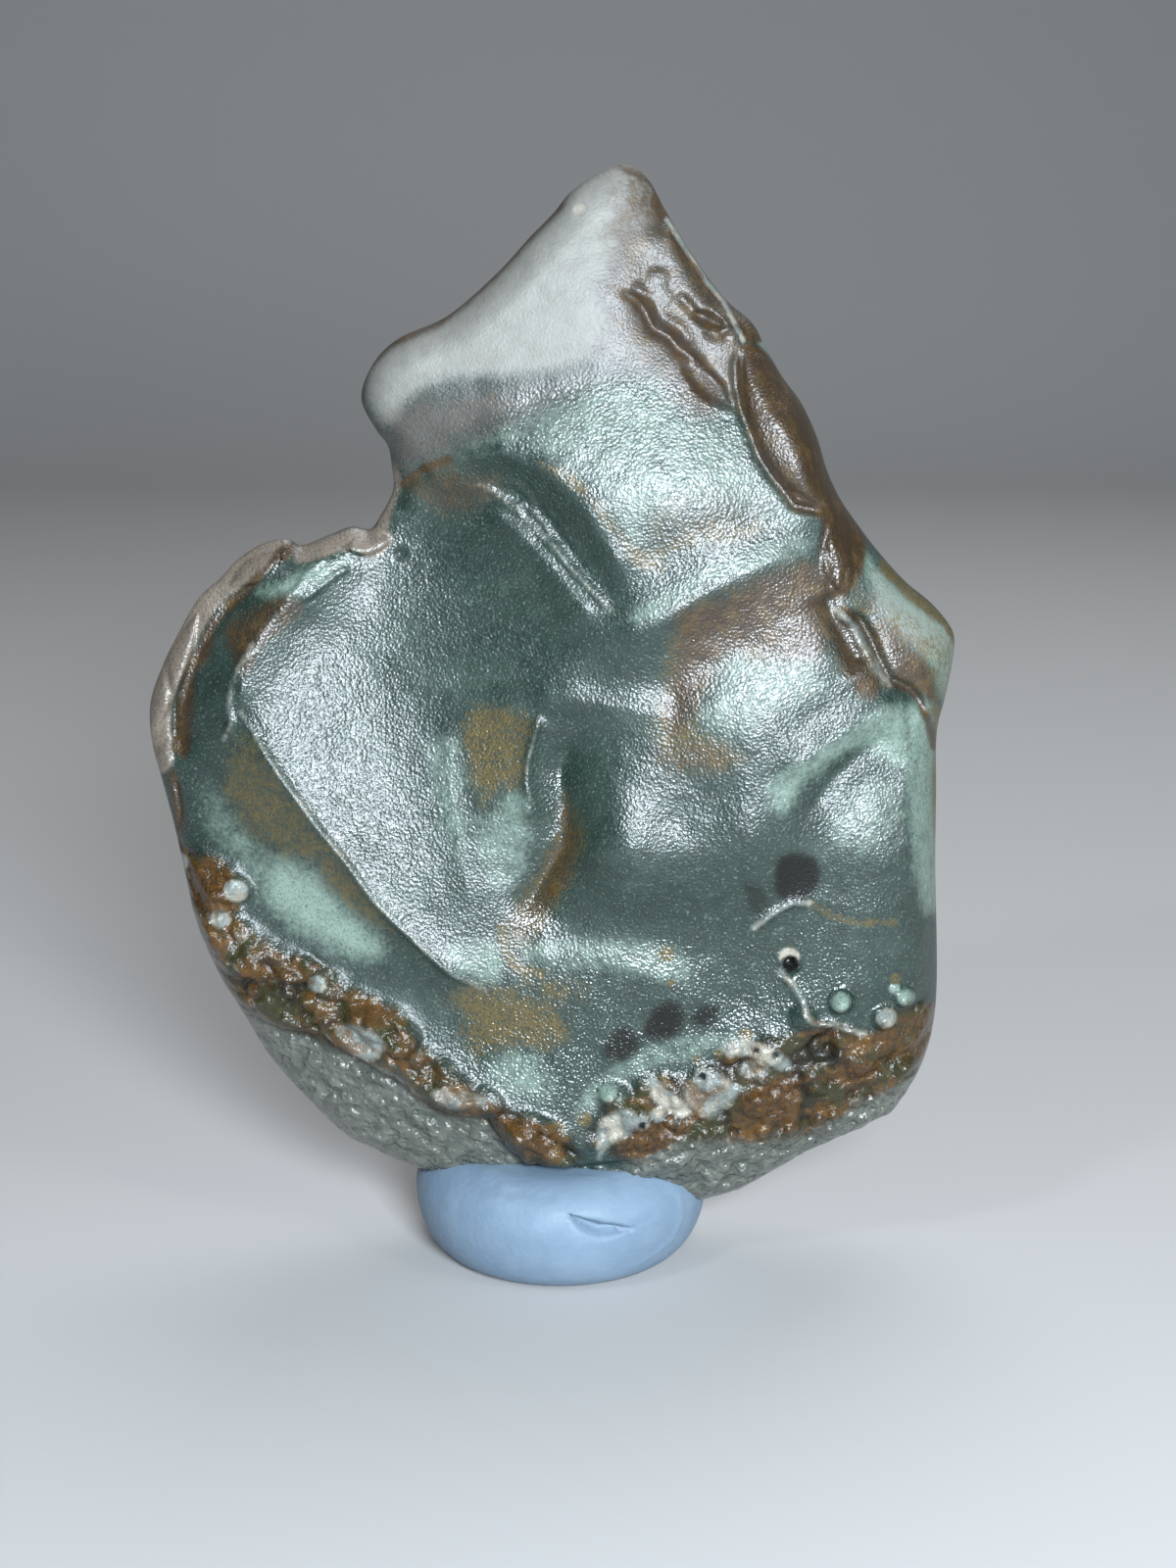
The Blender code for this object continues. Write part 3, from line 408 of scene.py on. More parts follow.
# Fine lines on the finished relief.
SCRATCHES: tuple[Scratch, ...] = (
    # the crinkled fold on the hollow's wall
    Scratch(0.3, 0.28, WALL_WRINKLE),
    Scratch(0.3, 0.22, ((-3.9, 67.6), (-2.7, 67.7), (-1.3, 66.3), (0.0, 64.0), (0.6, 62.8))),
    Scratch(0.25, 0.22, ((-4.8, 69.5), (-3.4, 69.3), (-2.4, 68.3), (-1.6, 67.0))),
    Scratch(-0.25, 0.3, ((-3.0, 67.1), (-1.6, 65.8), (-0.5, 64.6))),
    Scratch(0.2, 0.25, ((-1.4, 67.6), (0.2, 65.9), (1.4, 64.2), (2.7, 62.3), (4.0, 60.6))),
    # wrinkles by the blade's right rim
    Scratch(-0.5, 0.35, (
        (4.6, 84.8), (6.1, 84.1), (7.0, 82.8), (7.5, 81.6), (8.9, 81.0), (9.6, 80.0), (11.2, 79.0),
        (12.8, 77.4), (14.2, 76.2),
    )),
    Scratch(0.35, 0.5, ((5.6, 85.2), (7.2, 84.2), (8.2, 82.6), (9.6, 81.8), (10.8, 80.2))),
    Scratch(-0.35, 0.4, ((9.4, 84.6), (10.9, 83.0), (12.6, 82.0), (13.8, 80.6))),
    Scratch(0.35, 0.35, (
        (8.4, 90.2), (8.9, 89.1), (10.6, 87.2), (11.7, 85.5), (13.1, 83.9), (14.0, 82.2), (14.7, 80.8),
    )),
    # the blister's near edge
    Scratch(-0.7, 0.3, (
        (14.4, 80.3), (14.1, 78.9), (14.2, 77.2), (14.6, 75.2), (15.5, 73.2), (16.1, 71.5), (17.2, 69.8),
        (18.4, 68.4), (19.0, 67.5), (20.4, 67.2), (21.8, 66.8),
    )),
    # the wavy ridge and its creases by the right tip
    Scratch(0.45, 0.35, (*TIP_RIDGE, (28.6, 51.8))),
    Scratch(-0.5, 0.3, TIP_CREASE),
    Scratch(-0.3, 0.3, ((21.6, 66.2), (21.5, 64.2), (22.3, 62.4), (22.0, 60.6))),
    Scratch(-0.3, 0.3, ((23.4, 66.2), (23.9, 64.2), (23.2, 62.0), (23.0, 60.2))),
    # folds inside the left lip
    Scratch(0.35, 0.3, LIP_FOLD),
    Scratch(0.3, 0.25, ((-22.8, 60.0), (-21.4, 60.6), (-20.2, 62.3), (-18.7, 63.5))),
    Scratch(0.3, 0.25, ((-21.1, 59.7), (-19.7, 60.6), (-17.9, 62.0), (-16.8, 62.6))),
    Scratch(-0.5, 0.35, ((-32.2, 54.6), (-31.6, 51.0), (-31.7, 47.6))),
    Scratch(-0.5, 0.3, ((-31.7, 45.0), (-31.4, 42.0), (-31.9, 39.4), (-31.0, 37.8))),
    # the raised edge of the knife ridge, whose white line is a painted highlight, the valley's edge and the
    # vein by the dark spot
    Scratch(0.35, 0.22, KNIFE_EDGE),
    Scratch(0.25, 0.22, VALLEY_RIM),
    Scratch(0.12, 0.25, ((0.6, 42.0), (0.1, 40.4), (-1.2, 38.4), (-2.4, 36.0))),
    Scratch(0.35, 0.3, ((16.5, 32.0), (17.9, 33.2), (19.4, 34.1), (20.9, 34.1))),
    # the raised cream vein at the lower right
    Scratch(0.34, 0.32, CREAM_VEIN),
    # creases in the crust
    Scratch(-0.5, 0.35, (
        (-22.8, 27.2), (-20.9, 26.2), (-19.2, 25.4), (-17.6, 25.2), (-15.4, 25.2), (-13.6, 24.2),
    )),
    Scratch(-0.4, 0.35, ((-19.6, 24.0), (-17.4, 22.0), (-15.4, 20.8), (-13.2, 20.4), (-11.8, 18.6))),
    Scratch(-0.4, 0.3, ((-3.2, 13.4), (-2.5, 12.0), (-1.8, 10.8))),
    Scratch(-0.4, 0.3, ((-12.4, 21.6), (-10.6, 19.4), (-8.6, 17.9), (-6.4, 17.2), (-4.8, 16.0))),
)

CRUST_BAND: tuple[Place, ...] = (
    (-31.8, 38.6), (-29.4, 38.4), (-27.0, 37.2), (-26.2, 35.4), (-26.8, 32.6), (-23.8, 30.1), (-20.1, 29.0),
    (-17.6, 26.6), (-13.2, 24.4), (-11.2, 21.0), (-9.0, 18.8), (-5.7, 17.0), (-2.6, 15.0), (-0.6, 14.2),
    (1.4, 12.6), (1.6, 10.8), (-1.2, 10.5), (-3.4, 11.6), (-5.0, 13.6), (-7.9, 15.3), (-10.6, 15.8),
    (-13.6, 19.0), (-18.7, 21.3), (-23.5, 23.4), (-27.4, 25.2), (-29.4, 29.0), (-31.2, 33.6),
)
UNDERSIDE: tuple[Place, ...] = (
    (-27.4, 24.8), (-23.5, 23.0), (-18.7, 20.9), (-13.6, 18.6), (-10.6, 15.4), (-7.0, 14.9), (-5.0, 13.2),
    (-3.3, 11.0), (1.0, 10.0), (8.0, 9.6), (6.0, 4.0), (-12.0, 5.0), (-22.0, 12.0), (-28.0, 20.0),
)
RIGHT_CRUST: tuple[Place, ...] = (
    (3.2, 15.4), (5.6, 17.0), (8.0, 18.8), (10.6, 18.6), (14.0, 20.8), (17.0, 22.0), (20.4, 22.8),
    (23.6, 23.2), (26.6, 22.8), (28.0, 24.4), (31.4, 25.4), (32.4, 20.6), (30.0, 14.6), (24.0, 11.4),
    (18.4, 9.0), (12.0, 8.4), (6.0, 10.6), (2.4, 12.4),
)
RIGHT_RUSTY: tuple[Place, ...] = (
    *RIGHT_CRUST[:12], (29.8, 18.4), (25.4, 16.0), (22.4, 14.0), (19.2, 12.8), (14.0, 12.8), (9.4, 12.0),
    (6.0, 11.0), (2.4, 12.4),
)
RIGHT_FOOT: tuple[Place, ...] = (
    (6.0, 12.0), (9.4, 13.0), (14.0, 13.8), (19.2, 13.8), (22.4, 15.0), (25.4, 17.0), (29.8, 19.4),
    (31.8, 19.0), (30.4, 14.4), (24.0, 10.4), (18.0, 7.0), (12.0, 6.0), (6.0, 8.6),
)

ROPE_FIELDS: tuple[RopeField, ...] = (
    RopeField(CRUST_BAND, -38.0, 0.85),
    RopeField(RIGHT_CRUST, 22.0, 0.55),
    RopeField(UNDERSIDE, -35.0, 0.25),
)

SPRINKLES: tuple[Sprinkle, ...] = (
    Sprinkle(11, 80, (0.35, 0.75), (0.15, 0.4), CRUST_BAND),
    Sprinkle(12, 34, (0.8, 1.3), (0.25, 0.6), CRUST_BAND, 1.7, -32.0),
    Sprinkle(13, 420, (0.35, 0.7), (0.14, 0.34), UNDERSIDE, 1.5, -28.0),
    Sprinkle(14, 330, (0.4, 0.85), (0.18, 0.45), RIGHT_FOOT),
    Sprinkle(15, 100, (0.4, 0.9), (0.15, 0.4), RIGHT_CRUST),
    Sprinkle(16, 60, (0.35, 0.6), (-0.5, -0.2), RIGHT_CRUST),
)

# Small single beads and pits: the first four are the glassy beads by the cream vein.
BEADS: tuple[Lump, ...] = (
    Lump(23.7, 25.3, 1.05, 0.7), Lump(29.2, 25.7, 0.85, 0.6), Lump(28.2, 26.5, 0.5, 0.35),
    Lump(27.6, 23.9, 0.95, 0.6), Lump(4.1, 17.1, 0.8, 0.5), Lump(5.3, 16.1, 0.7, 0.45),
    Lump(8.3, 15.1, 0.7, 0.4), Lump(-1.0, 14.2, 0.8, 0.4), Lump(19.4, 28.7, 0.75, -0.9),
    Lump(12.1, 18.7, 0.32, -0.5), Lump(7.0, 14.2, 0.32, -0.5), Lump(16.6, 21.0, 0.4, -0.4),
    Lump(18.3, 20.6, 0.45, -0.4), Lump(7.9, 85.6, 1.1, 0.3), Lump(8.3, 84.2, 1.0, 0.25),
    Lump(12.6, 82.0, 1.3, 0.35), Lump(-12.8, 63.6, 0.6, -0.4), Lump(1.7, 91.0, 0.6, -0.15),
)

PATCHES: tuple[Patch, ...] = (
    Patch(Mark.PALE, 1.0, 1.4, (
        (-13.6, 74.2), (-15.2, 76.2), (-14.6, 79.4), (-10.1, 82.0), (-7.0, 84.3), (-2.8, 88.4), (0.0, 91.0),
        (1.9, 93.4), (5.0, 94.6), (7.2, 93.4), (7.9, 90.6), (5.6, 88.5), (3.9, 86.1), (2.8, 84.7),
        (3.6, 82.8), (3.0, 80.4), (0.4, 78.6), (-5.1, 78.0), (-9.3, 77.6), (-11.9, 76.2),
    )),
    Patch(Mark.HAZE_AND_SHADE, 0.75, 2.0, (
        (2.8, 86.4), (6.2, 86.8), (9.0, 83.6), (13.4, 80.6), (14.0, 76.4), (11.0, 74.6), (8.0, 77.4),
        (3.4, 78.4), (1.0, 80.2), (2.6, 83.4),
    )),
    # Painted shade: the grey-brown band under the blade's lower border, where the surface turns down away
    # from the light.
    Patch(Mark.HAZE_AND_SHADE, 0.7, 2.4, (
        (-13.8, 75.4), (-10.7, 76.6), (-7.1, 77.0), (-3.7, 77.2), (-0.6, 77.6), (2.6, 78.4), (5.0, 78.2),
        (3.3, 77.3), (1.1, 76.4), (-1.7, 75.0), (-4.0, 73.9), (-6.3, 72.7), (-8.5, 71.6), (-10.8, 70.6),
        (-13.2, 70.8),
    )),
    Patch(Mark.UMBER_AND_SHADE, 0.7, 2.2, (
        (4.0, 90.6), (6.4, 94.4), (9.8, 91.2), (13.4, 85.9), (15.2, 82.4), (14.6, 80.0), (14.0, 76.0),
        (11.0, 75.0), (8.4, 78.0), (5.4, 80.6), (4.2, 85.0),
    )),
    # Painted shade: a faint brown in the same band under the blade.
    Patch(Mark.UMBER_AND_SHADE, 0.3, 1.8, (
        (-13.8, 75.6), (-8.0, 77.2), (-1.6, 77.4), (-4.0, 74.2), (-9.0, 71.8), (-13.6, 70.6),
    )),
    Patch(Mark.UMBER_AND_SHADE, 0.4, 1.4, (
        (7.4, 68.2), (10.5, 69.4), (14.4, 69.2), (17.2, 67.4), (15.2, 65.2), (11.4, 64.6), (8.0, 63.6),
        (6.4, 65.2),
    )),
    Patch(Mark.UMBER_AND_SHADE, 0.75, 0.9, (
        (4.4, 88.1), (6.6, 89.7), (8.2, 89.0), (10.2, 86.2), (12.3, 83.9), (11.1, 83.2), (8.9, 84.5),
        (7.3, 86.4), (5.8, 87.4),
    )),
    Patch(Mark.UMBER_AND_SHADE, 0.85, 0.7, (
        (10.4, 83.8), (13.0, 83.2), (14.6, 80.6), (14.2, 79.4), (12.6, 80.4), (10.8, 82.0),
    )),
    Patch(Mark.UMBER_AND_SHADE, 0.9, 0.5, (
        (9.2, 79.2), (10.2, 78.6), (12.2, 76.9), (12.3, 75.3), (10.9, 75.6), (10.0, 77.2),
    )),
    Patch(Mark.UMBER_AND_SHADE, 1.0, 0.6, (
        (14.4, 80.5), (13.9, 78.9), (14.0, 77.2), (14.4, 75.2), (15.3, 73.2), (15.9, 71.5), (17.0, 69.8),
        (18.2, 68.2), (19.0, 67.1), (20.4, 66.8), (22.2, 66.2), (24.0, 66.8), (23.0, 70.4), (21.8, 73.4),
        (20.4, 76.0), (18.2, 78.4), (16.2, 80.2),
    )),
    # Brown under the hollow's arch: partly the stone's own brown, partly painted shade where the arch's
    # underside faces down.
    Patch(Mark.UMBER_AND_SHADE, 0.6, 1.6, (
        (-12.4, 69.2), (-10.8, 70.5), (-8.0, 70.6), (-5.7, 70.4), (-4.3, 69.2), (-5.7, 67.4), (-8.0, 66.8),
        (-10.3, 67.2),
    )),
    Patch(Mark.UMBER_AND_SHADE, 1.0, 2.0, (
        (9.8, 58.7), (12.3, 59.7), (15.2, 61.2), (18.0, 62.3), (20.9, 62.8), (22.0, 60.8), (22.2, 57.6),
        (21.4, 55.4), (19.6, 54.6), (17.2, 54.8), (15.0, 55.2), (13.4, 54.8), (12.4, 53.0), (11.0, 50.5),
        (9.8, 48.6), (8.8, 49.4), (8.8, 52.0), (9.4, 53.8), (9.8, 56.4),
    )),
    Patch(Mark.OCHRE, 0.75, 1.6, (
        (9.4, 57.4), (12.2, 58.4), (13.4, 56.4), (12.2, 53.4), (10.8, 49.4), (14.4, 47.2), (14.0, 45.6),
        (9.2, 45.6), (8.0, 48.6), (8.8, 53.6),
    )),
    Patch(Mark.HAZE_AND_SHADE, 0.75, 2.2, (
        (-1.4, 88.0), (2.6, 90.4), (5.0, 88.6), (4.0, 84.4), (3.6, 80.0), (-1.6, 79.0), (-4.0, 82.0),
    )),
    Patch(Mark.UMBER_AND_SHADE, 0.55, 1.2, (
        (7.3, 47.3), (9.0, 48.1), (11.3, 48.0), (13.6, 47.4), (15.6, 46.6), (13.1, 45.5), (10.7, 45.2),
        (8.5, 45.8),
    )),
    Patch(Mark.UMBER_AND_SHADE, 0.95, 0.5, (
        (21.6, 67.2), (23.8, 66.6), (24.9, 64.6), (24.4, 61.6), (22.6, 59.6), (21.2, 61.2), (21.2, 65.0),
    )),
    Patch(Mark.UMBER_AND_SHADE, 0.8, 0.7, (
        (21.6, 59.6), (23.4, 59.0), (24.8, 56.2), (26.2, 53.6), (26.2, 51.8), (24.7, 51.8), (23.3, 53.8),
        (22.1, 56.5),
    )),
    Patch(Mark.UMBER_AND_SHADE, 0.8, 0.9, (
        (24.8, 57.6), (26.6, 58.2), (28.6, 55.8), (30.5, 54.4), (30.8, 51.4), (28.9, 52.4), (27.2, 53.4),
        (26.2, 55.4),
    )),
    Patch(Mark.OCHRE, 0.75, 1.2, (
        (-7.7, 49.7), (-6.9, 50.9), (-4.8, 50.8), (-3.1, 50.2), (-2.2, 49.1), (-2.8, 46.7), (-3.2, 44.3),
        (-4.9, 43.9), (-5.8, 42.4), (-6.4, 42.4), (-6.8, 43.9), (-7.6, 46.1), (-8.0, 48.2),
    )),
    Patch(Mark.UMBER_AND_SHADE, 0.9, 0.5, (
        (-22.2, 64.6), (-20.8, 64.2), (-23.3, 62.2), (-25.4, 60.0), (-27.6, 58.0), (-28.5, 55.2),
        (-29.7, 53.5), (-30.1, 49.1), (-30.6, 46.6), (-31.8, 47.4), (-31.6, 49.9), (-31.0, 52.9),
        (-29.9, 55.4), (-28.0, 58.7), (-26.0, 60.7), (-23.9, 62.6),
    )),
    Patch(Mark.UMBER_AND_SHADE, 0.7, 0.9, (
        (-27.2, 57.4), (-24.9, 59.2), (-22.1, 60.3), (-20.7, 59.0), (-22.7, 57.1), (-24.5, 55.3),
        (-25.5, 53.3), (-26.6, 54.5),
    )),
    Patch(Mark.LIP, 1.0, 0.35, (
        (-21.4, 65.4), (-23.8, 65.6), (-26.6, 64.2), (-30.2, 60.4), (-32.0, 57.8), (-33.6, 54.3),
        (-35.0, 50.9), (-34.8, 46.9), (-33.0, 45.2), (-31.8, 46.4), (-31.9, 49.7), (-31.3, 52.4),
        (-30.1, 55.0), (-28.8, 57.7), (-27.1, 59.8), (-24.8, 61.4), (-23.3, 62.8),
    )),
    Patch(Mark.LIP, 0.9, 0.4, (
        (-20.8, 64.6), (-17.6, 65.6), (-14.0, 65.8), (-13.4, 64.4), (-15.2, 63.6), (-17.0, 63.9),
        (-19.4, 63.2), (-21.2, 62.9),
    )),
    Patch(Mark.LIP, 0.8, 0.5, (
        (-14.8, 65.6), (-14.6, 68.0), (-14.4, 71.6), (-13.2, 71.0), (-12.6, 69.4), (-13.3, 67.4),
        (-13.8, 65.4),
    )),
    Patch(Mark.MINT, 0.55, 0.9, (
        (-24.8, 60.5), (-21.9, 61.9), (-19.0, 63.2), (-16.7, 63.5), (-17.9, 62.0), (-20.5, 60.6),
        (-22.8, 59.7),
    )),
    Patch(Mark.MINT, 0.42, 2.2, (
        (-9.5, 71.8), (-6.3, 73.3), (-4.0, 74.6), (-1.7, 75.7), (1.1, 77.1), (4.0, 78.0), (8.0, 77.8),
        (10.0, 75.4), (13.4, 74.8), (15.2, 72.4), (16.6, 69.4), (19.4, 67.0), (20.8, 65.6), (17.4, 65.6),
        (14.0, 66.8), (9.0, 66.0), (6.0, 64.4), (4.0, 67.0), (0.6, 70.4), (-3.4, 72.2),
    )),
    Patch(Mark.MINT, 0.4, 0.9, (
        (4.6, 58.0), (8.0, 60.4), (12.0, 62.8), (17.0, 64.9), (20.6, 65.2), (20.2, 63.4), (15.0, 61.8),
        (11.0, 60.0), (7.6, 57.8),
    )),
    Patch(Mark.MINT, 0.42, 1.8, (
        (13.2, 55.2), (14.7, 56.3), (17.6, 56.0), (20.6, 55.7), (21.8, 53.8), (22.6, 52.4), (20.0, 51.0),
        (17.7, 50.0), (15.9, 48.8), (14.2, 47.8), (12.1, 48.8), (11.4, 50.6), (12.4, 53.0),
    )),
    Patch(Mark.MINT, 0.6, 1.2, (
        (17.0, 44.0), (20.6, 46.8), (24.0, 49.4), (27.4, 51.2), (28.7, 50.5), (29.1, 46.0), (27.6, 45.7),
        (24.7, 47.2), (21.0, 44.8), (18.4, 41.6),
    )),
    Patch(Mark.MINT, 0.36, 1.6, (
        (22.5, 42.4), (24.7, 44.2), (27.6, 45.4), (28.8, 43.6), (28.7, 40.0), (25.5, 38.1), (22.5, 38.7),
    )),
    Patch(Mark.MINT, 0.6, 1.0, (
        (28.4, 51.0), (31.4, 50.4), (33.0, 44.0), (33.0, 36.0), (30.6, 33.0), (29.0, 40.0),
    )),
    Patch(Mark.OCHRE, 0.5, 1.6, (
        (24.0, 61.0), (28.0, 58.6), (32.0, 57.0), (33.6, 54.0), (32.4, 50.6), (28.0, 53.0), (25.0, 57.0),
    )),
    Patch(Mark.PALE, 0.55, 1.4, (
        (25.4, 62.6), (28.4, 60.0), (31.6, 57.8), (33.2, 55.8), (30.8, 54.8), (27.0, 56.4), (25.6, 58.4),
    )),
    Patch(Mark.MINT, 0.75, 1.2, (
        (24.4, 64.2), (27.2, 61.4), (29.9, 59.4), (32.6, 57.4), (33.4, 54.6), (32.4, 50.4), (30.8, 52.4),
        (29.2, 56.1), (27.3, 57.4), (25.7, 60.0),
    )),
    Patch(Mark.MINT, 0.45, 1.2, (
        (-10.6, 48.5), (-8.0, 48.2), (-7.6, 44.3), (-7.3, 40.6), (-7.4, 37.6), (-9.1, 38.4), (-10.1, 42.2),
        (-11.0, 45.5),
    )),
    Patch(Mark.MINT, 0.45, 1.2, (
        (-6.9, 41.9), (-5.9, 41.9), (-4.6, 43.5), (-2.7, 43.5), (-2.1, 40.6), (-2.4, 37.6), (-3.5, 35.5),
        (-5.7, 34.9), (-6.9, 37.6),
    )),
    Patch(Mark.MINT, 0.5, 1.0, (
        (-8.9, 30.6), (-5.1, 30.7), (-4.9, 26.9), (-7.0, 27.1), (-8.9, 28.3), (-9.6, 29.5),
    )),
    Patch(Mark.MINT, 0.85, 2.2, (
        (-23.3, 37.8), (-20.8, 37.1), (-19.1, 35.1), (-16.4, 32.3), (-14.6, 30.2), (-16.4, 29.2),
        (-21.2, 31.4), (-24.0, 33.7), (-24.8, 36.1),
    )),
    Patch(Mark.MINT, 0.5, 2.0, (
        (-29.2, 44.1), (-27.1, 42.1), (-25.6, 39.6), (-23.3, 37.8), (-24.5, 35.6), (-27.0, 37.6),
        (-29.0, 40.8),
    )),
    Patch(Mark.MINT, 0.55, 2.2, (
        (-6.1, 19.5), (-4.4, 21.1), (-2.2, 20.7), (-0.9, 18.7), (-1.1, 16.6), (-3.5, 16.5), (-5.6, 17.8),
    )),
    Patch(Mark.MINT, 0.4, 0.9, (
        (-3.0, 30.6), (2.0, 31.0), (8.6, 30.6), (11.4, 28.6), (10.4, 26.8), (6.0, 27.6), (1.0, 28.2),
        (-2.6, 28.8),
    )),
    Patch(Mark.MINT, 0.4, 0.8, (
        (0.9, 15.1), (2.6, 18.1), (4.9, 20.0), (8.4, 21.9), (12.1, 22.7), (15.3, 22.5), (12.0, 20.2),
        (8.4, 19.4), (5.0, 17.6), (2.6, 14.8),
    )),
    Patch(Mark.OCHRE, 0.6, 1.6, (
        (-27.7, 45.1), (-26.2, 48.9), (-24.5, 46.9), (-22.6, 44.1), (-20.6, 41.0), (-18.6, 38.6),
        (-19.8, 37.8), (-22.0, 37.8), (-23.7, 38.8), (-26.0, 40.4), (-27.1, 42.2),
    )),
    Patch(Mark.OCHRE, 0.6, 1.0, (
        (-19.2, 38.4), (-17.0, 35.9), (-15.4, 33.8), (-13.6, 31.6), (-14.6, 31.7), (-16.8, 32.9),
        (-18.4, 34.4), (-19.9, 36.3),
    )),
    Patch(Mark.OCHRE, 0.8, 1.6, (
        (-8.9, 26.6), (-5.6, 26.6), (-2.9, 26.0), (-0.2, 24.6), (0.8, 22.4), (-0.8, 21.1), (-3.0, 21.4),
        (-5.1, 21.1), (-7.0, 20.7), (-8.1, 22.4), (-7.8, 24.1), (-9.1, 25.2),
    )),
    Patch(Mark.OCHRE, 0.45, 0.9, (
        (-3.1, 27.6), (0.3, 27.6), (2.9, 26.6), (1.3, 25.1), (-0.8, 25.1), (-2.9, 26.0),
    )),
    Patch(Mark.OCHRE, 0.7, 0.6, (
        (-1.9, 71.2), (0.6, 69.5), (3.1, 67.1), (4.7, 64.8), (6.3, 62.6), (8.8, 62.2), (7.9, 63.5),
        (6.3, 64.1), (4.9, 65.8), (3.4, 67.8), (1.0, 70.2),
    )),
    Patch(Mark.OCHRE, 0.7, 1.2, (
        (7.6, 63.2), (10.6, 65.6), (14.6, 66.4), (16.8, 65.9), (15.1, 64.7), (11.7, 64.3),
    )),
    Patch(Mark.OCHRE, 0.6, 1.2, (
        (-0.6, 38.9), (1.2, 42.1), (2.0, 40.0), (1.7, 37.4), (-0.5, 33.6), (-1.4, 31.2), (-3.2, 29.8),
        (-4.9, 31.2), (-3.7, 34.5),
    )),
    Patch(Mark.RUST, 0.9, 0.5, ((-31.1, 36.8), (-28.6, 37.9), (-27.3, 36.7), (-27.7, 34.3), (-30.2, 33.8))),
    Patch(Mark.CRUST, 0.9, 1.1, CRUST_BAND),
    Patch(Mark.CRUST, 0.9, 1.0, RIGHT_RUSTY),
    Patch(Mark.PEBBLE, 1.0, 0.6, UNDERSIDE),
    Patch(Mark.PEBBLE, 1.0, 1.6, RIGHT_FOOT),
    Patch(Mark.RUST, 0.9, 0.6, (
        (15.2, 16.6), (16.8, 17.8), (19.1, 18.8), (20.5, 18.5), (20.1, 16.6), (19.6, 14.8), (17.8, 14.6),
        (15.9, 15.1),
    )),
    Patch(Mark.RUST, 0.8, 0.6, ((24.0, 18.6), (24.9, 19.8), (27.0, 20.2), (27.2, 18.6), (25.2, 17.6))),
    Patch(Mark.RUST, 0.9, 0.5, (
        (4.9, 13.1), (6.8, 13.8), (8.4, 14.5), (9.8, 13.3), (8.9, 12.1), (7.0, 11.4), (5.2, 11.6),
    )),
    Patch(Mark.RUST, 0.6, 0.7, (
        (26.5, 22.0), (27.8, 23.5), (29.7, 24.4), (32.0, 25.0), (32.4, 22.0), (30.4, 20.2), (28.4, 20.2),
        (26.8, 20.4),
    )),
    Patch(Mark.RUST, 0.7, 0.5, ((-17.8, 24.6), (-15.2, 25.2), (-13.2, 24.2), (-14.6, 23.4), (-17.0, 23.4))),
    Patch(Mark.RUST, 0.6, 0.5, ((-11.4, 20.4), (-9.0, 18.4), (-9.6, 17.6), (-12.0, 19.4))),
    Patch(Mark.RUST, 0.6, 0.5, ((-5.4, 15.4), (-1.0, 13.6), (-0.8, 11.6), (-2.6, 11.2), (-4.8, 13.6))),
    Patch(Mark.CREAM, 0.7, 0.6, (
        (11.0, 18.3), (12.8, 19.3), (14.2, 18.5), (15.4, 17.6), (14.5, 16.1), (12.9, 14.9), (11.2, 15.6),
        (10.5, 17.1),
    )),
    Patch(Mark.CREAM, 0.6, 0.5, ((15.2, 19.6), (16.8, 20.3), (17.9, 19.6), (17.2, 18.4), (15.6, 18.6))),
    Patch(Mark.CREAM, 0.85, 0.4, (
        (7.5, 18.8), (8.9, 17.7), (10.3, 16.5), (11.4, 15.3), (10.3, 14.9), (8.7, 15.8), (7.7, 17.1),
    )),
    Patch(Mark.CREAM, 0.75, 0.5, (
        (3.1, 13.1), (3.5, 14.8), (5.6, 15.7), (6.7, 14.8), (6.1, 13.4), (4.4, 12.4), (3.3, 11.1),
    )),
    Patch(Mark.CREAM, 0.7, 0.5, (
        (13.7, 21.5), (15.3, 22.2), (16.7, 21.7), (18.8, 20.8), (19.8, 19.3), (18.2, 19.4), (16.3, 20.4),
        (14.2, 20.4),
    )),
    Patch(Mark.CREAM, 0.7, 0.4, ((-18.8, 23.2), (-16.2, 22.9), (-14.7, 21.3), (-16.3, 19.9), (-18.3, 21.4))),
    Patch(Mark.CREAM, 0.6, 0.4, (
        (-11.1, 17.1), (-9.2, 17.7), (-7.1, 17.1), (-5.0, 16.4), (-7.1, 15.7), (-9.7, 15.7),
    )),
    Patch(Mark.INK, 1.0, 0.6, (
        (17.9, 36.9), (18.4, 38.1), (19.9, 38.4), (21.4, 37.8), (21.7, 36.0), (20.6, 34.3), (18.8, 34.3),
        (17.9, 35.4),
    )),
    Patch(Mark.INK, 1.0, 0.7, (
        (7.0, 22.4), (7.9, 24.6), (9.4, 25.4), (10.6, 24.2), (9.8, 22.3), (8.4, 22.0),
    )),
    Patch(Mark.INK, 0.95, 0.6, ((11.0, 23.6), (12.0, 25.0), (13.4, 24.8), (12.8, 23.2))),
    Patch(Mark.INK, 0.9, 0.7, ((3.6, 20.6), (4.4, 22.6), (5.9, 23.0), (7.0, 21.6), (5.6, 20.0))),
    Patch(Mark.UMBER_AND_SHADE, 0.6, 1.2, (
        (0.4, 44.0), (1.6, 40.5), (1.2, 36.5), (-0.8, 33.0), (-2.8, 30.6), (-4.2, 31.6), (-2.6, 35.0),
        (-0.6, 39.0),
    )),
    Patch(Mark.INK, 0.6, 0.5, ((15.3, 35.7), (17.0, 35.3), (17.6, 33.8), (16.2, 33.0))),
    Patch(Mark.INK, 0.65, 0.7, (
        (20.7, 21.3), (22.3, 21.9), (23.9, 21.2), (24.9, 19.8), (23.3, 19.4), (22.1, 19.6), (21.0, 19.6),
    )),
    Patch(Mark.SLICK, 1.0, 2.0, (
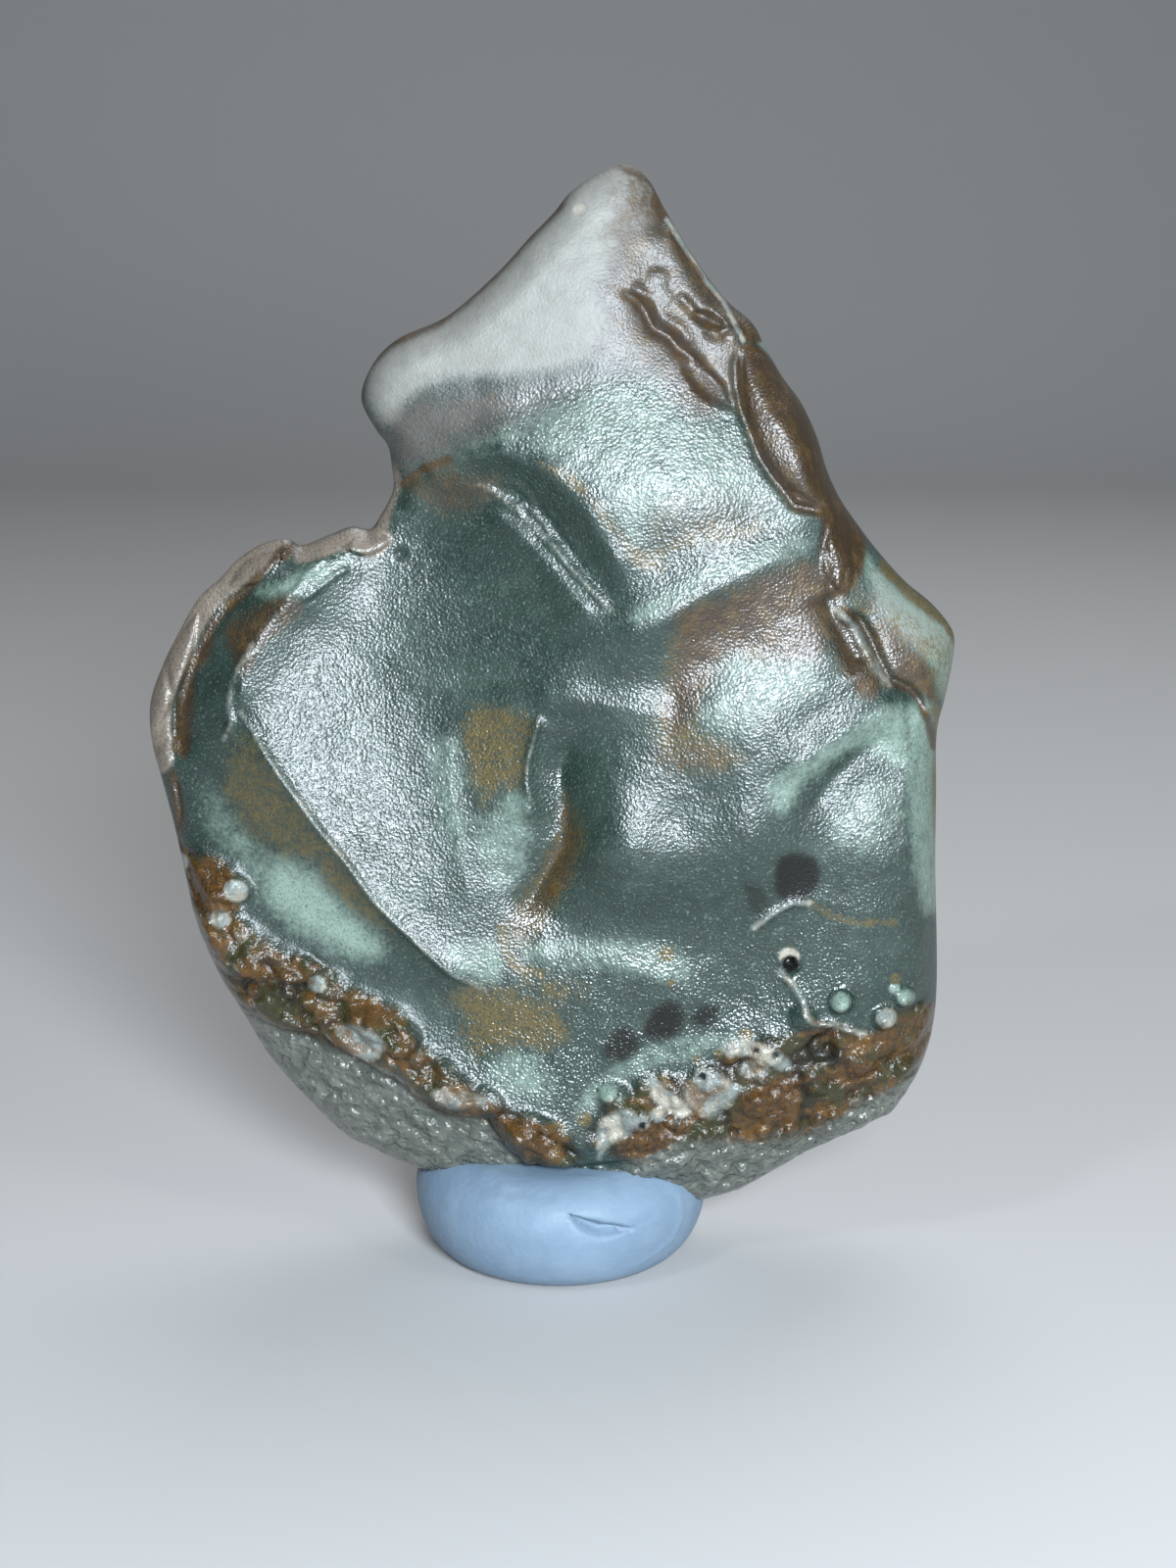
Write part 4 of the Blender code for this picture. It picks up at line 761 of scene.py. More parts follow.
        (-8.0, 25.6), (-4.0, 27.0), (2.0, 27.4), (6.0, 30.0), (9.0, 35.4), (15.0, 34.6), (24.0, 34.4),
        (29.0, 33.0), (31.0, 22.0), (20.0, 23.0), (10.0, 19.0), (3.0, 17.0), (-1.0, 15.0), (-7.0, 20.0),
    )),
    Patch(Mark.SLICK, 1.0, 1.2, (
        (2.2, 48.6), (-0.8, 47.6), (-1.8, 42.0), (-4.4, 34.0), (-2.0, 31.4), (2.2, 36.6), (2.6, 42.0),
    )),
    Patch(Mark.SATIN, 0.8, 1.5, (
        (-30.2, 44.6), (-27.6, 48.4), (-22.8, 44.2), (-16.0, 34.2), (-9.4, 27.0), (-11.6, 22.6),
        (-17.8, 26.8), (-24.0, 30.4), (-27.0, 34.8),
    )),
    Patch(Mark.SATIN, 0.75, 1.2, (
        (-15.6, 73.0), (-16.6, 77.0), (-13.6, 81.4), (-7.0, 85.0), (-1.0, 90.8), (3.0, 94.6), (7.6, 93.6),
        (11.0, 87.4), (15.0, 81.0), (14.4, 76.0), (8.0, 77.6), (0.0, 77.4), (-6.0, 75.0), (-12.0, 71.6),
    )),
    Patch(Mark.SATIN, 0.2, 0.4, (
        (14.4, 80.5), (14.0, 77.2), (15.3, 73.2), (17.0, 69.8), (19.0, 67.1), (22.2, 66.2), (24.0, 66.8),
        (21.8, 73.4), (18.2, 78.4),
    )),
    Patch(Mark.SATIN, 0.7, 0.8, ((29.0, 50.0), (29.0, 26.0), (34.0, 26.0), (34.0, 52.0), (30.4, 52.0))),
)

STROKES: tuple[Stroke, ...] = (
    Stroke(Mark.UMBER_AND_SHADE, 0.95, 0.55, 0.35, (
        (4.2, 84.9), (6.1, 84.1), (7.0, 82.8), (7.5, 81.6), (8.9, 81.0), (9.6, 80.0), (11.2, 79.0),
    )),
    Stroke(Mark.UMBER_AND_SHADE, 0.9, 0.5, 0.5, (
        (-16.4, 73.6), (-16.9, 75.8), (-16.0, 78.2), (-13.6, 80.6), (-9.4, 82.4), (-5.2, 86.0), (-2.6, 88.8),
        (0.0, 91.4),
    )),
    Stroke(Mark.UMBER_AND_SHADE, 0.9, 1.5, 0.5, (
        (5.4, 95.4), (8.2, 93.8), (9.8, 91.0), (11.4, 88.4), (13.1, 85.9), (14.9, 83.7), (16.9, 82.0),
    )),
    Stroke(Mark.UMBER_AND_SHADE, 0.95, 1.1, 0.5, (
        (8.2, 91.6), (9.8, 89.0), (11.6, 86.6), (13.0, 84.6), (14.4, 83.0), (15.6, 81.6),
    )),
    Stroke(Mark.UMBER_AND_SHADE, 0.9, 1.0, 0.5, ((18.2, 79.6), (20.2, 76.4), (21.6, 73.4), (22.8, 70.0), (24.4, 66.4))),
    # Painted highlight: a thin pale line along the blade's raised right rim.
    Stroke(Mark.CREAM, 0.8, 0.2, 0.2, (
        (8.6, 90.2), (10.6, 87.2), (11.7, 85.5), (13.1, 83.9), (14.0, 82.2), (14.7, 80.8),
    )),
    Stroke(Mark.MINT, 0.8, 0.5, 0.3, ((15.6, 81.6), (16.4, 80.7), (18.0, 78.4))),
    Stroke(Mark.UMBER_AND_SHADE, 0.8, 0.4, 0.3, (*TIP_CREASE, (30.9, 47.6))),
    Stroke(Mark.CREAM, 0.55, 0.35, 0.3, TIP_RIDGE),
    Stroke(Mark.CREAM, 0.45, 0.25, 0.3, LIP_FOLD),
    # Painted highlights: pale lines along the knife ridge's edge and the crinkled fold on the hollow's wall.
    Stroke(Mark.CREAM, 0.5, 0.2, 0.3, KNIFE_EDGE),
    Stroke(Mark.CREAM, 0.35, 0.3, 0.35, WALL_WRINKLE),
    Stroke(Mark.CREAM, 0.3, 0.25, 0.3, ((-3.9, 67.6), (-2.7, 67.7), (-1.3, 66.3), (0.0, 64.0))),
    Stroke(Mark.CREAM, 0.3, 0.2, 0.25, VALLEY_RIM),
    Stroke(Mark.CREAM, 0.7, 0.3, 0.3, ((16.3, 31.9), (17.9, 33.2), (19.4, 34.1), (20.9, 34.1))),
    Stroke(Mark.OCHRE, 0.6, 0.35, 0.3, ((20.9, 34.1), (22.7, 32.9), (25.0, 32.4), (28.0, 32.3))),
    Stroke(Mark.CREAM, 0.65, 0.26, 0.35, CREAM_VEIN),
    Stroke(Mark.OCHRE, 0.7, 0.5, 0.4, ((-4.9, 31.8), (-4.4, 29.8), (-3.6, 28.4), (-1.6, 27.8))),
    Stroke(Mark.OCHRE, 0.8, 0.5, 0.4, ((31.0, 50.6), (31.4, 47.6), (31.2, 44.6), (31.6, 40.0))),
    Stroke(Mark.UMBER_AND_SHADE, 0.7, 0.5, 0.4, ((19.2, 21.6), (20.9, 22.5), (23.7, 22.4), (26.0, 21.2))),
    Stroke(Mark.OCHRE, 0.9, 0.5, 0.5, (
        (26.4, 62.6), (29.0, 60.0), (31.6, 58.0), (33.2, 55.6), (33.4, 53.4), (32.8, 50.6),
    )),
    Stroke(Mark.UMBER_AND_SHADE, 0.8, 0.4, 0.3, ((-12.4, 69.3), (-10.8, 70.5), (-8.8, 71.3))),
    Stroke(Mark.UMBER_AND_SHADE, 0.85, 0.45, 0.35, ((-31.9, 45.2), (-31.4, 42.0), (-31.9, 39.4), (-31.0, 37.8))),
    Stroke(Mark.UMBER_AND_SHADE, 0.8, 0.5, 0.4, (
        (-27.8, 24.9), (-23.5, 23.2), (-20.6, 22.6), (-17.2, 20.6), (-14.3, 18.8), (-11.8, 16.6),
        (-9.4, 15.2), (-6.2, 14.9), (-4.5, 12.8), (-3.0, 11.2), (-1.0, 10.3),
    )),
)

# Round markings.
SPOTS: tuple[Spot, ...] = (
    Spot(Mark.INK, 1.0, 19.4, 28.7, 0.7), Spot(Mark.INK, 1.0, 12.1, 18.7, 0.32),
    Spot(Mark.INK, 1.0, 7.0, 14.2, 0.32), Spot(Mark.INK, 0.8, 16.6, 21.0, 0.3),
    Spot(Mark.INK, 0.8, 18.3, 20.6, 0.35), Spot(Mark.MINT, 0.8, 23.7, 25.3, 0.9),
    Spot(Mark.MINT, 0.7, 29.2, 25.7, 0.8), Spot(Mark.MINT, 0.7, 28.2, 26.5, 0.5),
    Spot(Mark.CREAM, 0.8, 27.6, 23.9, 0.9), Spot(Mark.RUST, 1.0, 27.5, 23.6, 0.45),
    Spot(Mark.MINT, 0.8, 4.1, 17.1, 0.8), Spot(Mark.MINT, 0.7, 5.3, 16.1, 0.7),
    Spot(Mark.CREAM, 0.7, 8.3, 15.1, 0.7), Spot(Mark.CREAM, 0.9, -27.0, 35.1, 1.0),
    Spot(Mark.CREAM, 0.8, -28.3, 32.7, 0.9), Spot(Mark.CREAM, 0.8, -31.6, 37.6, 0.8),
    Spot(Mark.CREAM, 0.8, -20.4, 26.9, 0.8), Spot(Mark.CREAM, 0.8, 19.3, 29.3, 0.9),
    Spot(Mark.CREAM, 0.6, 12.1, 18.9, 0.7), Spot(Mark.CREAM, 0.7, 7.0, 14.4, 0.7),
    Spot(Mark.OCHRE, 0.9, 9.0, 29.6, 0.7), Spot(Mark.OCHRE, 0.8, 9.4, 27.0, 0.4),
    Spot(Mark.OCHRE, 0.8, 28.3, 27.4, 0.5), Spot(Mark.OCHRE, 0.8, 15.8, 22.3, 0.7),
    Spot(Mark.OCHRE, 0.8, 13.5, 20.6, 0.5), Spot(Mark.OCHRE, 0.7, 11.6, 20.1, 0.5),
    Spot(Mark.OCHRE, 0.7, 7.2, 15.8, 0.5), Spot(Mark.OCHRE, 0.9, 11.9, 14.6, 0.7),
    Spot(Mark.OCHRE, 0.9, 14.3, 15.1, 0.6), Spot(Mark.OCHRE, 0.9, 2.1, 14.8, 0.7),
    Spot(Mark.OCHRE, 0.9, -0.2, 13.8, 0.8), Spot(Mark.OCHRE, 0.6, -11.9, 20.1, 0.7),
    Spot(Mark.LIP, 1.0, -15.0, 64.6, 1.3), Spot(Mark.LIP, 0.9, -32.6, 46.6, 0.9),
    Spot(Mark.CREAM, 0.6, 1.7, 91.0, 0.5),
)

# The slit in the putty's front, as (x, z) places on its face.
PUTTY_SLIT: tuple[Place, ...] = ((0.8, 7.8), (2.2, 6.9), (3.6, 6.35), (6.1, 6.1))

# Pinched folds and a faint raised arc on the putty's front.
PUTTY_FOLDS: tuple[Fold, ...] = (
    Fold(-0.16, 0.35, ((-8.6, 9.6), (-6.8, 9.0), (-5.0, 9.1))),
    Fold(-0.14, 0.3, ((-6.6, 9.8), (-4.6, 9.0), (-2.8, 9.2))),
    Fold(-0.1, 0.3, ((-3.2, 9.4), (-1.6, 8.9), (0.2, 9.3))),
    Fold(0.07, 0.25, ((9.1, 9.1), (10.3, 7.6), (10.6, 5.6), (9.7, 3.7), (7.3, 2.4), (4.9, 1.6))),
    Fold(-0.06, 0.2, ((6.1, 6.1), (7.4, 6.5), (8.6, 7.0))),
)

LAMPS: tuple[Lamp, ...] = (
    Lamp("key", (60.0, -320.0, 150.0), 90.0, 2.5, (0.83, 0.92, 1.0)),
    Lamp("fill", (320.0, -200.0, 160.0), 240.0, 0.26, (0.9, 0.95, 1.0)),
    Lamp("top", (60.0, 200.0, 360.0), 300.0, 0.8, (1.0, 1.0, 1.0)),
    Lamp("glint_left", (-170.0, -230.0, 300.0), 36.0, 0.24, (0.9, 0.95, 1.0)),
    Lamp("glint_right", (240.0, -220.0, 210.0), 36.0, 0.12, (1.0, 0.97, 0.92)),
)


def smooth_step(value: np.ndarray) -> np.ndarray:
    """Eases a share from 0 to 1, and holds it there outside.

    Args:
        value: The shares.

    Returns:
        The eased shares.
    """
    value = np.clip(value, 0.0, 1.0)
    return value * value * (3.0 - 2.0 * value)


def smooth_loop(points: tuple[Place, ...], steps: int) -> np.ndarray:
    """Samples a closed curve through the points.

    Args:
        points: The points, in order.
        steps: Samples from one point to the next.

    Returns:
        The samples, one (x, z) in a row.
    """
    knots = np.array(points, float)
    before, after, beyond = (np.roll(knots, shift, axis=0) for shift in (1, -1, -2))
    samples = []
    for t in np.linspace(0.0, 1.0, steps, endpoint=False):
        samples.append(
            0.5 * (2.0 * knots + (after - before) * t
                   + (2.0 * before - 5.0 * knots + 4.0 * after - beyond) * t ** 2
                   + (3.0 * knots - before - 3.0 * after + beyond) * t ** 3)
        )
    return np.stack(samples, axis=1).reshape(-1, 2)


@dataclass(frozen=True)
class Nearest:
    """The nearest points of a line to some places."""

    gap: np.ndarray
    point: np.ndarray
    along: np.ndarray
    side: np.ndarray

    def fade(self, share: float) -> np.ndarray:
        """Eases from 0 at the line's ends to 1 at that share of its length."""
        return smooth_step(np.minimum(self.along, 1.0 - self.along) / share)


def nearest_on_line(places: np.ndarray, line: np.ndarray, closed: bool = False) -> Nearest:
    """Finds the nearest point of a line to each place.

    Args:
        places: The (x, z) places.
        line: The line's (x, z) points.
        closed: Whether the line runs back to its first point.

    Returns:
        The gaps, the points, their share of the way along and the side, positive to the left.
    """
    ends = np.asarray(line, float)[:, :2]
    starts = ends if closed else ends[:-1]
    stops = np.roll(ends, -1, axis=0) if closed else ends[1:]
    lengths = np.linalg.norm(stops - starts, axis=1)
    run = np.concatenate([[0.0], np.cumsum(lengths)])
    gap = np.full(len(places), np.inf)
    point = np.zeros((len(places), 2))
    along = np.zeros(len(places))
    side = np.zeros(len(places))
    for i, (start, stop) in enumerate(zip(starts, stops)):
        way = stop - start
        offset = places - start
        share = np.clip(offset @ way / (way @ way), 0.0, 1.0)
        foot = start + share[:, None] * way
        distance = np.linalg.norm(places - foot, axis=1)
        closer = distance < gap
        gap[closer] = distance[closer]
        point[closer] = foot[closer]
        along[closer] = (run[i] + share[closer] * lengths[i]) / run[-1]
        side[closer] = np.sign(way[0] * offset[closer, 1] - way[1] * offset[closer, 0])
    return Nearest(gap, point, along, side)


def near_box(places: np.ndarray, line: np.ndarray, margin: float) -> np.ndarray:
    """Lists the places in or near the box about a line.

    Args:
        places: The (x, z) places.
        line: The line's (x, z) points.
        margin: How far outside the box a place may lie.

    Returns:
        The indices of those places.
    """
    low = line[:, :2].min(axis=0) - margin
    high = line[:, :2].max(axis=0) + margin
    return np.nonzero(np.all((places > low) & (places < high), axis=1))[0]


def is_inside(places: np.ndarray, loop: np.ndarray) -> np.ndarray:
    """Tells which places lie inside a closed outline.

    Args:
        places: The (x, z) places.
        loop: The outline's (x, z) points.

    Returns:
        True for each place inside.
    """
    inside = np.zeros(len(places), bool)
    for start, stop in zip(loop, np.roll(loop, -1, axis=0)):
        crosses = (start[1] > places[:, 1]) != (stop[1] > places[:, 1])
        rise = stop[1] - start[1]
        if rise:
            reach = start[0] + (stop[0] - start[0]) * (places[:, 1] - start[1]) / rise
            inside ^= crosses & (places[:, 0] < reach)
    return inside


def share_inside(places: np.ndarray, loop: np.ndarray, softness: float) -> np.ndarray:
    """Tells how far inside a closed outline places lie, from 0 outside to 1 inside.

    Args:
        places: The (x, z) places.
        loop: The outline's (x, z) points.
        softness: Half the width of its soft edge.

    Returns:
        The share at each place.
    """
    share = np.zeros(len(places))
    near = near_box(places, loop, softness)
    if len(near):
        gap = nearest_on_line(places[near], loop, closed=True).gap
        depth = np.where(is_inside(places[near], loop), gap, -gap)
        share[near] = smooth_step(depth / (2.0 * softness) + 0.5)
    return share


def blocks_of(count: int) -> list[np.ndarray]:
    """Splits that many indices into blocks that are small enough for wide tables."""
    return np.array_split(np.arange(count), max(1, count // BLOCK))


class Grain:
    """Smooth random unevenness that is the same on every run."""

    SIDE = 256
    SHIFT = 100.0

    def __init__(self, seed: int) -> None:
        """Draws the random values.

        Args:
            seed: What the values are drawn from.
        """
        self.values = np.random.RandomState(seed).uniform(-1.0, 1.0, (self.SIDE, self.SIDE))

    def at(self, places: np.ndarray, size: float, stretch: float = 1.0, turn: float = 0.0) -> np.ndarray:
        """Reads the unevenness.

        Args:
            places: The (x, z) places.
            size: The size of one swelling, in millimetres.
            stretch: How much longer than wide it is.
            turn: The turn of its length, in degrees.

        Returns:
            Values from -1 to 1.
        """
        angle = math.radians(turn)
        u = places @ (math.cos(angle), math.sin(angle)) / (size * stretch) + self.SHIFT
        v = places @ (-math.sin(angle), math.cos(angle)) / size + self.SHIFT
        column, row = np.floor(u).astype(int), np.floor(v).astype(int)
        right, up = smooth_step(u - column), smooth_step(v - row)
        here, beyond = column % self.SIDE, (column + 1) % self.SIDE
        low, high = (
            self.values[here, line] * (1.0 - right) + self.values[beyond, line] * right
            for line in (row % self.SIDE, (row + 1) % self.SIDE)
        )
        return low * (1.0 - up) + high * up

    def ropes(self, places: np.ndarray, size: float, stretch: float = 1.0, turn: float = 0.0) -> np.ndarray:
        """Gives rounded ropes with sharp gaps between them, from -1 to 1."""
        return 2.0 * np.sqrt(np.abs(self.at(places, size, stretch, turn))) - 1.0


class Sheet:
    """A smooth sheet of heights through landmarks."""

    SPAN = 40.0
    EASE = 0.006

    def __init__(self, landmarks: np.ndarray) -> None:
        """Fits the sheet.

        Args:
            landmarks: Rows of (x, z, height).
        """
        self.knots = landmarks[:, :2]
        count = len(landmarks)
        plane = np.column_stack([np.ones(count), self.knots])
        system = np.zeros((count + 3, count + 3))
        system[:count, :count] = self._bend(self.knots) + self.EASE * np.eye(count)
        system[:count, count:] = plane
        system[count:, :count] = plane.T
        self.weights = np.linalg.solve(system, np.concatenate([landmarks[:, 2], np.zeros(3)]))

    def _bend(self, places: np.ndarray) -> np.ndarray:
        """Gives each knot's pull on each place."""
        gaps = np.linalg.norm(places[:, None, :] - self.knots[None, :, :], axis=2) / self.SPAN
        return gaps ** 2 * np.log(np.maximum(gaps, 1e-6))

    def at(self, places: np.ndarray) -> np.ndarray:
        """Reads the sheet.

        Args:
            places: The (x, z) places.

        Returns:
            The height at each place.
        """
        count = len(self.knots)
        heights = np.empty(len(places))
        for block in blocks_of(len(places)):
            bent = self._bend(places[block]) @ self.weights[:count]
            heights[block] = bent + self.weights[count] + places[block] @ self.weights[count + 1:]
        return heights


@dataclass(frozen=True)
class SightLine:
    """Carries places from the reading sheet on to the stone, and back."""

    eye: tuple[float, float, float] = (2.4, -241.5, 106.9)
    sheet_distance: float = 8.0

    def settle(self, points: tuple[Landmark, ...]) -> np.ndarray:
        """Moves landmarks along the line of sight to their own height.

        Args:
            points: The (x, z, height) landmarks as they are read.

        Returns:
            Rows of (x, z, height) on the stone.
        """
        read = np.array(points, float)
        eye_x, eye_y, eye_z = self.eye
        stretch = (-eye_y - read[:, 2]) / (-eye_y - self.sheet_distance)
        x = eye_x + (read[:, 0] - eye_x) * stretch
        z = eye_z + (read[:, 1] - eye_z) * stretch
        return np.column_stack([x, z, read[:, 2]])

    def settle_on(self, sheet: Sheet, points: tuple[Place, ...]) -> np.ndarray:
        """Finds where places that are read lie on a sheet of heights.

        Args:
            sheet: The heights.
            points: The (x, z) places as they are read.

        Returns:
            Rows of (x, z) on the stone.
        """
        places = np.array(points, float)
        for _ in range(4):
            landmarks = tuple((x, z, h) for (x, z), h in zip(points, sheet.at(places)))
            places = self.settle(landmarks)[:, :2]
        return places

    def read(self, points: np.ndarray) -> np.ndarray:
        """Finds where points of the stone are read on the sheet.

        Args:
            points: Rows of (x, y, z) in millimetres.

        Returns:
            Rows of (x, z) on the reading sheet.
        """
        eye_x, eye_y, eye_z = self.eye
        share = (-eye_y - self.sheet_distance) / (points[:, 1] - eye_y)
        x = eye_x + (points[:, 0] - eye_x) * share
        z = eye_z + (points[:, 2] - eye_z) * share
        return np.column_stack([x, z])


@dataclass
class Relief:
    """The heights of the stone's front and back."""

    sight: SightLine = field(default_factory=SightLine)
    ledge_drop: float = 1.9
    ledge_lip: float = 0.7
    ledge_reach: float = 7.0
    ledge_fades: tuple[float, float] = (0.12, 0.3)
    crest_round: float = 0.25
    crest_fade: float = 0.15
    crest_reaches: float = 8.0
    scratch_fade: float = 0.12
    scratch_reaches: float = 3.0
    broad_rope: float = 2.9
    small_rope: float = 1.0
    broad_share: float = 0.7
    rope_lift: float = 0.2
    rope_edge: float = 1.1
    crust_top: float = 50.0
    hammer: float = 0.035
    hammer_size: float = 1.3
    fine_hammer_size: float = 0.8
    least: float = 0.8
    grain_seed: int = 5
    grain: Grain = field(init=False)
    front_sheet: Sheet = field(init=False)
    back_sheet: Sheet = field(init=False)

    def __post_init__(self) -> None:
        """Fits the sheets of the two faces."""
        landmarks = tuple(point for crest in CRESTS.values() for point in crest.points) + LEVELS
        self.front_sheet = Sheet(self.sight.settle(landmarks))
        self.back_sheet = Sheet(np.array(BACK_LEVELS, float))
        self.grain = Grain(self.grain_seed)

    def front(self, places: np.ndarray) -> np.ndarray:
        """Adds the whole relief of the front.

        Args:
            places: The (x, z) places.

        Returns:
            How far each place stands towards -Y.
        """
        height = self.front_sheet.at(places)
        for crest in CRESTS.values():
            points = self.sight.settle(crest.points)
            near = near_box(places, points, self.crest_reaches * crest.reach)
            line = nearest_on_line(places[near], points)
            fade = line.fade(self.crest_fade)
            gap = np.hypot(line.gap, self.crest_round) - self.crest_round
            height[near] += crest.crispness * fade * np.exp(-gap / crest.reach)
        for leaf in LEAVES:
            height += self._leaf(places, leaf)
        for lump in LUMPS:
            height += self._lump(places, lump)
        height -= self._ledge(places)
        rise, _ = self.beads(places)
        height += rise
        for scratch in SCRATCHES:
            self._add_scratch(height, places, scratch)
        height += self.hammer * self.grain.at(places, self.hammer_size)
        height += 0.5 * self.hammer * self.grain.at(places[:, ::-1], self.fine_hammer_size)
        return np.maximum(height, self.least)

    def beads(self, places: np.ndarray) -> tuple[np.ndarray, np.ndarray]:
        """Gives the crust's ropes and beads.

        Args:
            places: The (x, z) places.

        Returns:
            The heights, and how near the top of a bead each place is, from 0 to 1.
        """
        rise = np.zeros(len(places))
        top = np.zeros(len(places))
        for part in ROPE_FIELDS:
            share = share_inside(places, self.sight.settle_on(self.front_sheet, part.outline), self.rope_edge)
            near = np.nonzero(share > 0.0)[0]
            broad = self.grain.ropes(places[near], self.broad_rope, 1.9, part.turn)
            small = self.grain.ropes(places[near] + 37.0, self.small_rope, 1.3, part.turn)
            rope = self.broad_share * broad + (1.0 - self.broad_share) * small
            rise[near] += part.depth * share[near] * (rope + self.rope_lift)
            top[near] = np.maximum(top[near], share[near] * np.clip(0.35 + 0.45 * rope, 0.0, 1.0))
        for sprinkle in SPRINKLES:
            height, crown = self._sprinkle(places, sprinkle)
            rise += height
            top = np.maximum(top, crown)
        for bead in BEADS:
            height = self._lump(places, bead)
            rise += height
            top = np.maximum(top, height / abs(bead.height) * (bead.z < self.crust_top))
        return rise, top

    def back(self, places: np.ndarray) -> np.ndarray:
        """Gives how far each place of the back stands towards +Y."""
        return np.maximum(self.back_sheet.at(places), self.least)

    def _near(self, places: np.ndarray, x: float, z: float, reach: float) -> np.ndarray:
        """Lists the places within a square about a point."""
        return np.nonzero((np.abs(places[:, 0] - x) < reach) & (np.abs(places[:, 1] - z) < reach))[0]

    def _leaf(self, places: np.ndarray, leaf: Leaf) -> np.ndarray:
        """Gives the height of one pointed oval."""
        x, z = self.sight.settle_on(self.front_sheet, ((leaf.x, leaf.z),))[0]
        angle = math.radians(leaf.turn)
        offset = places - (x, z)
        lengthwise = (offset @ (math.cos(angle), math.sin(angle))) / leaf.half_length
        across = offset @ (-math.sin(angle), math.cos(angle))
        room = np.maximum(1.0 - lengthwise ** 2, 1e-6)
        inside = np.clip(1.0 - (across / (leaf.half_width * room)) ** 2, 0.0, 1.0)
        return leaf.height * np.sqrt(inside * np.where(np.abs(lengthwise) < 1.0, room, 0.0))

    def _lump(self, places: np.ndarray, lump: Lump) -> np.ndarray:
        """Gives the height of one round lump."""
        x, z = self.sight.settle_on(self.front_sheet, ((lump.x, lump.z),))[0]
        height = np.zeros(len(places))
        near = self._near(places, x, z, lump.radius)
        gap = np.linalg.norm(places[near] - (x, z), axis=1) / lump.radius
        height[near] = lump.height * np.clip(1.0 - gap ** 2, 0.0, 1.0)
        return height

    def _add_scratch(self, height: np.ndarray, places: np.ndarray, scratch: Scratch) -> None:
        """Adds one fine line, which fades at its ends."""
        line = self.sight.settle_on(self.front_sheet, scratch.points)
        near = near_box(places, line, self.scratch_reaches * scratch.reach)
        found = nearest_on_line(places[near], line)
        fade = found.fade(self.scratch_fade)
        height[near] += scratch.height * fade * np.exp(-((found.gap / scratch.reach) ** 2))

    def _ledge(self, places: np.ndarray) -> np.ndarray:
        """Gives how far the underside steps back below the crust."""
        edge = self.sight.settle_on(self.front_sheet, LEDGE_EDGE)
        near = nearest_on_line(places, edge)
        below = np.where(near.side < 0, near.gap, 0.0)
        left, right = self.ledge_fades
        fade = smooth_step(np.minimum(near.along / left, (1.0 - near.along) / right))
        step = smooth_step(below / self.ledge_lip) * np.exp(-below / self.ledge_reach)
        return self.ledge_drop * fade * step

    def _sprinkle(self, places: np.ndarray, sprinkle: Sprinkle) -> tuple[np.ndarray, np.ndarray]:
        """Gives the heights and the crowns of beads scattered over a patch."""
        chance = random.Random(sprinkle.seed)
        loop = self.sight.settle_on(self.front_sheet, sprinkle.outline)
        low, high = loop.min(axis=0), loop.max(axis=0)
        angle = math.radians(sprinkle.turn)
        along, across = (math.cos(angle), math.sin(angle)), (-math.sin(angle), math.cos(angle))
        height = np.zeros(len(places))
        crown = np.zeros(len(places))
        placed = 0
        while placed < sprinkle.count:
            spot = np.array([[chance.uniform(low[0], high[0]), chance.uniform(low[1], high[1])]])
            if not is_inside(spot, loop)[0]:
                continue
            placed += 1
            radius = chance.uniform(*sprinkle.radii)
            rise = chance.uniform(*sprinkle.heights)
            near = self._near(places, spot[0, 0], spot[0, 1], radius * sprinkle.stretch)
            offset = places[near] - spot
            gap = np.hypot(offset @ along / sprinkle.stretch, offset @ across) / radius
            bead = np.sqrt(np.clip(1.0 - gap ** 2, 0.0, 1.0))
            if rise > 0.0:
                height[near] = np.maximum(height[near], rise * bead)
                crown[near] = np.maximum(crown[near], bead)
            else:
                height[near] = np.minimum(height[near], rise * bead)
        return height, crown


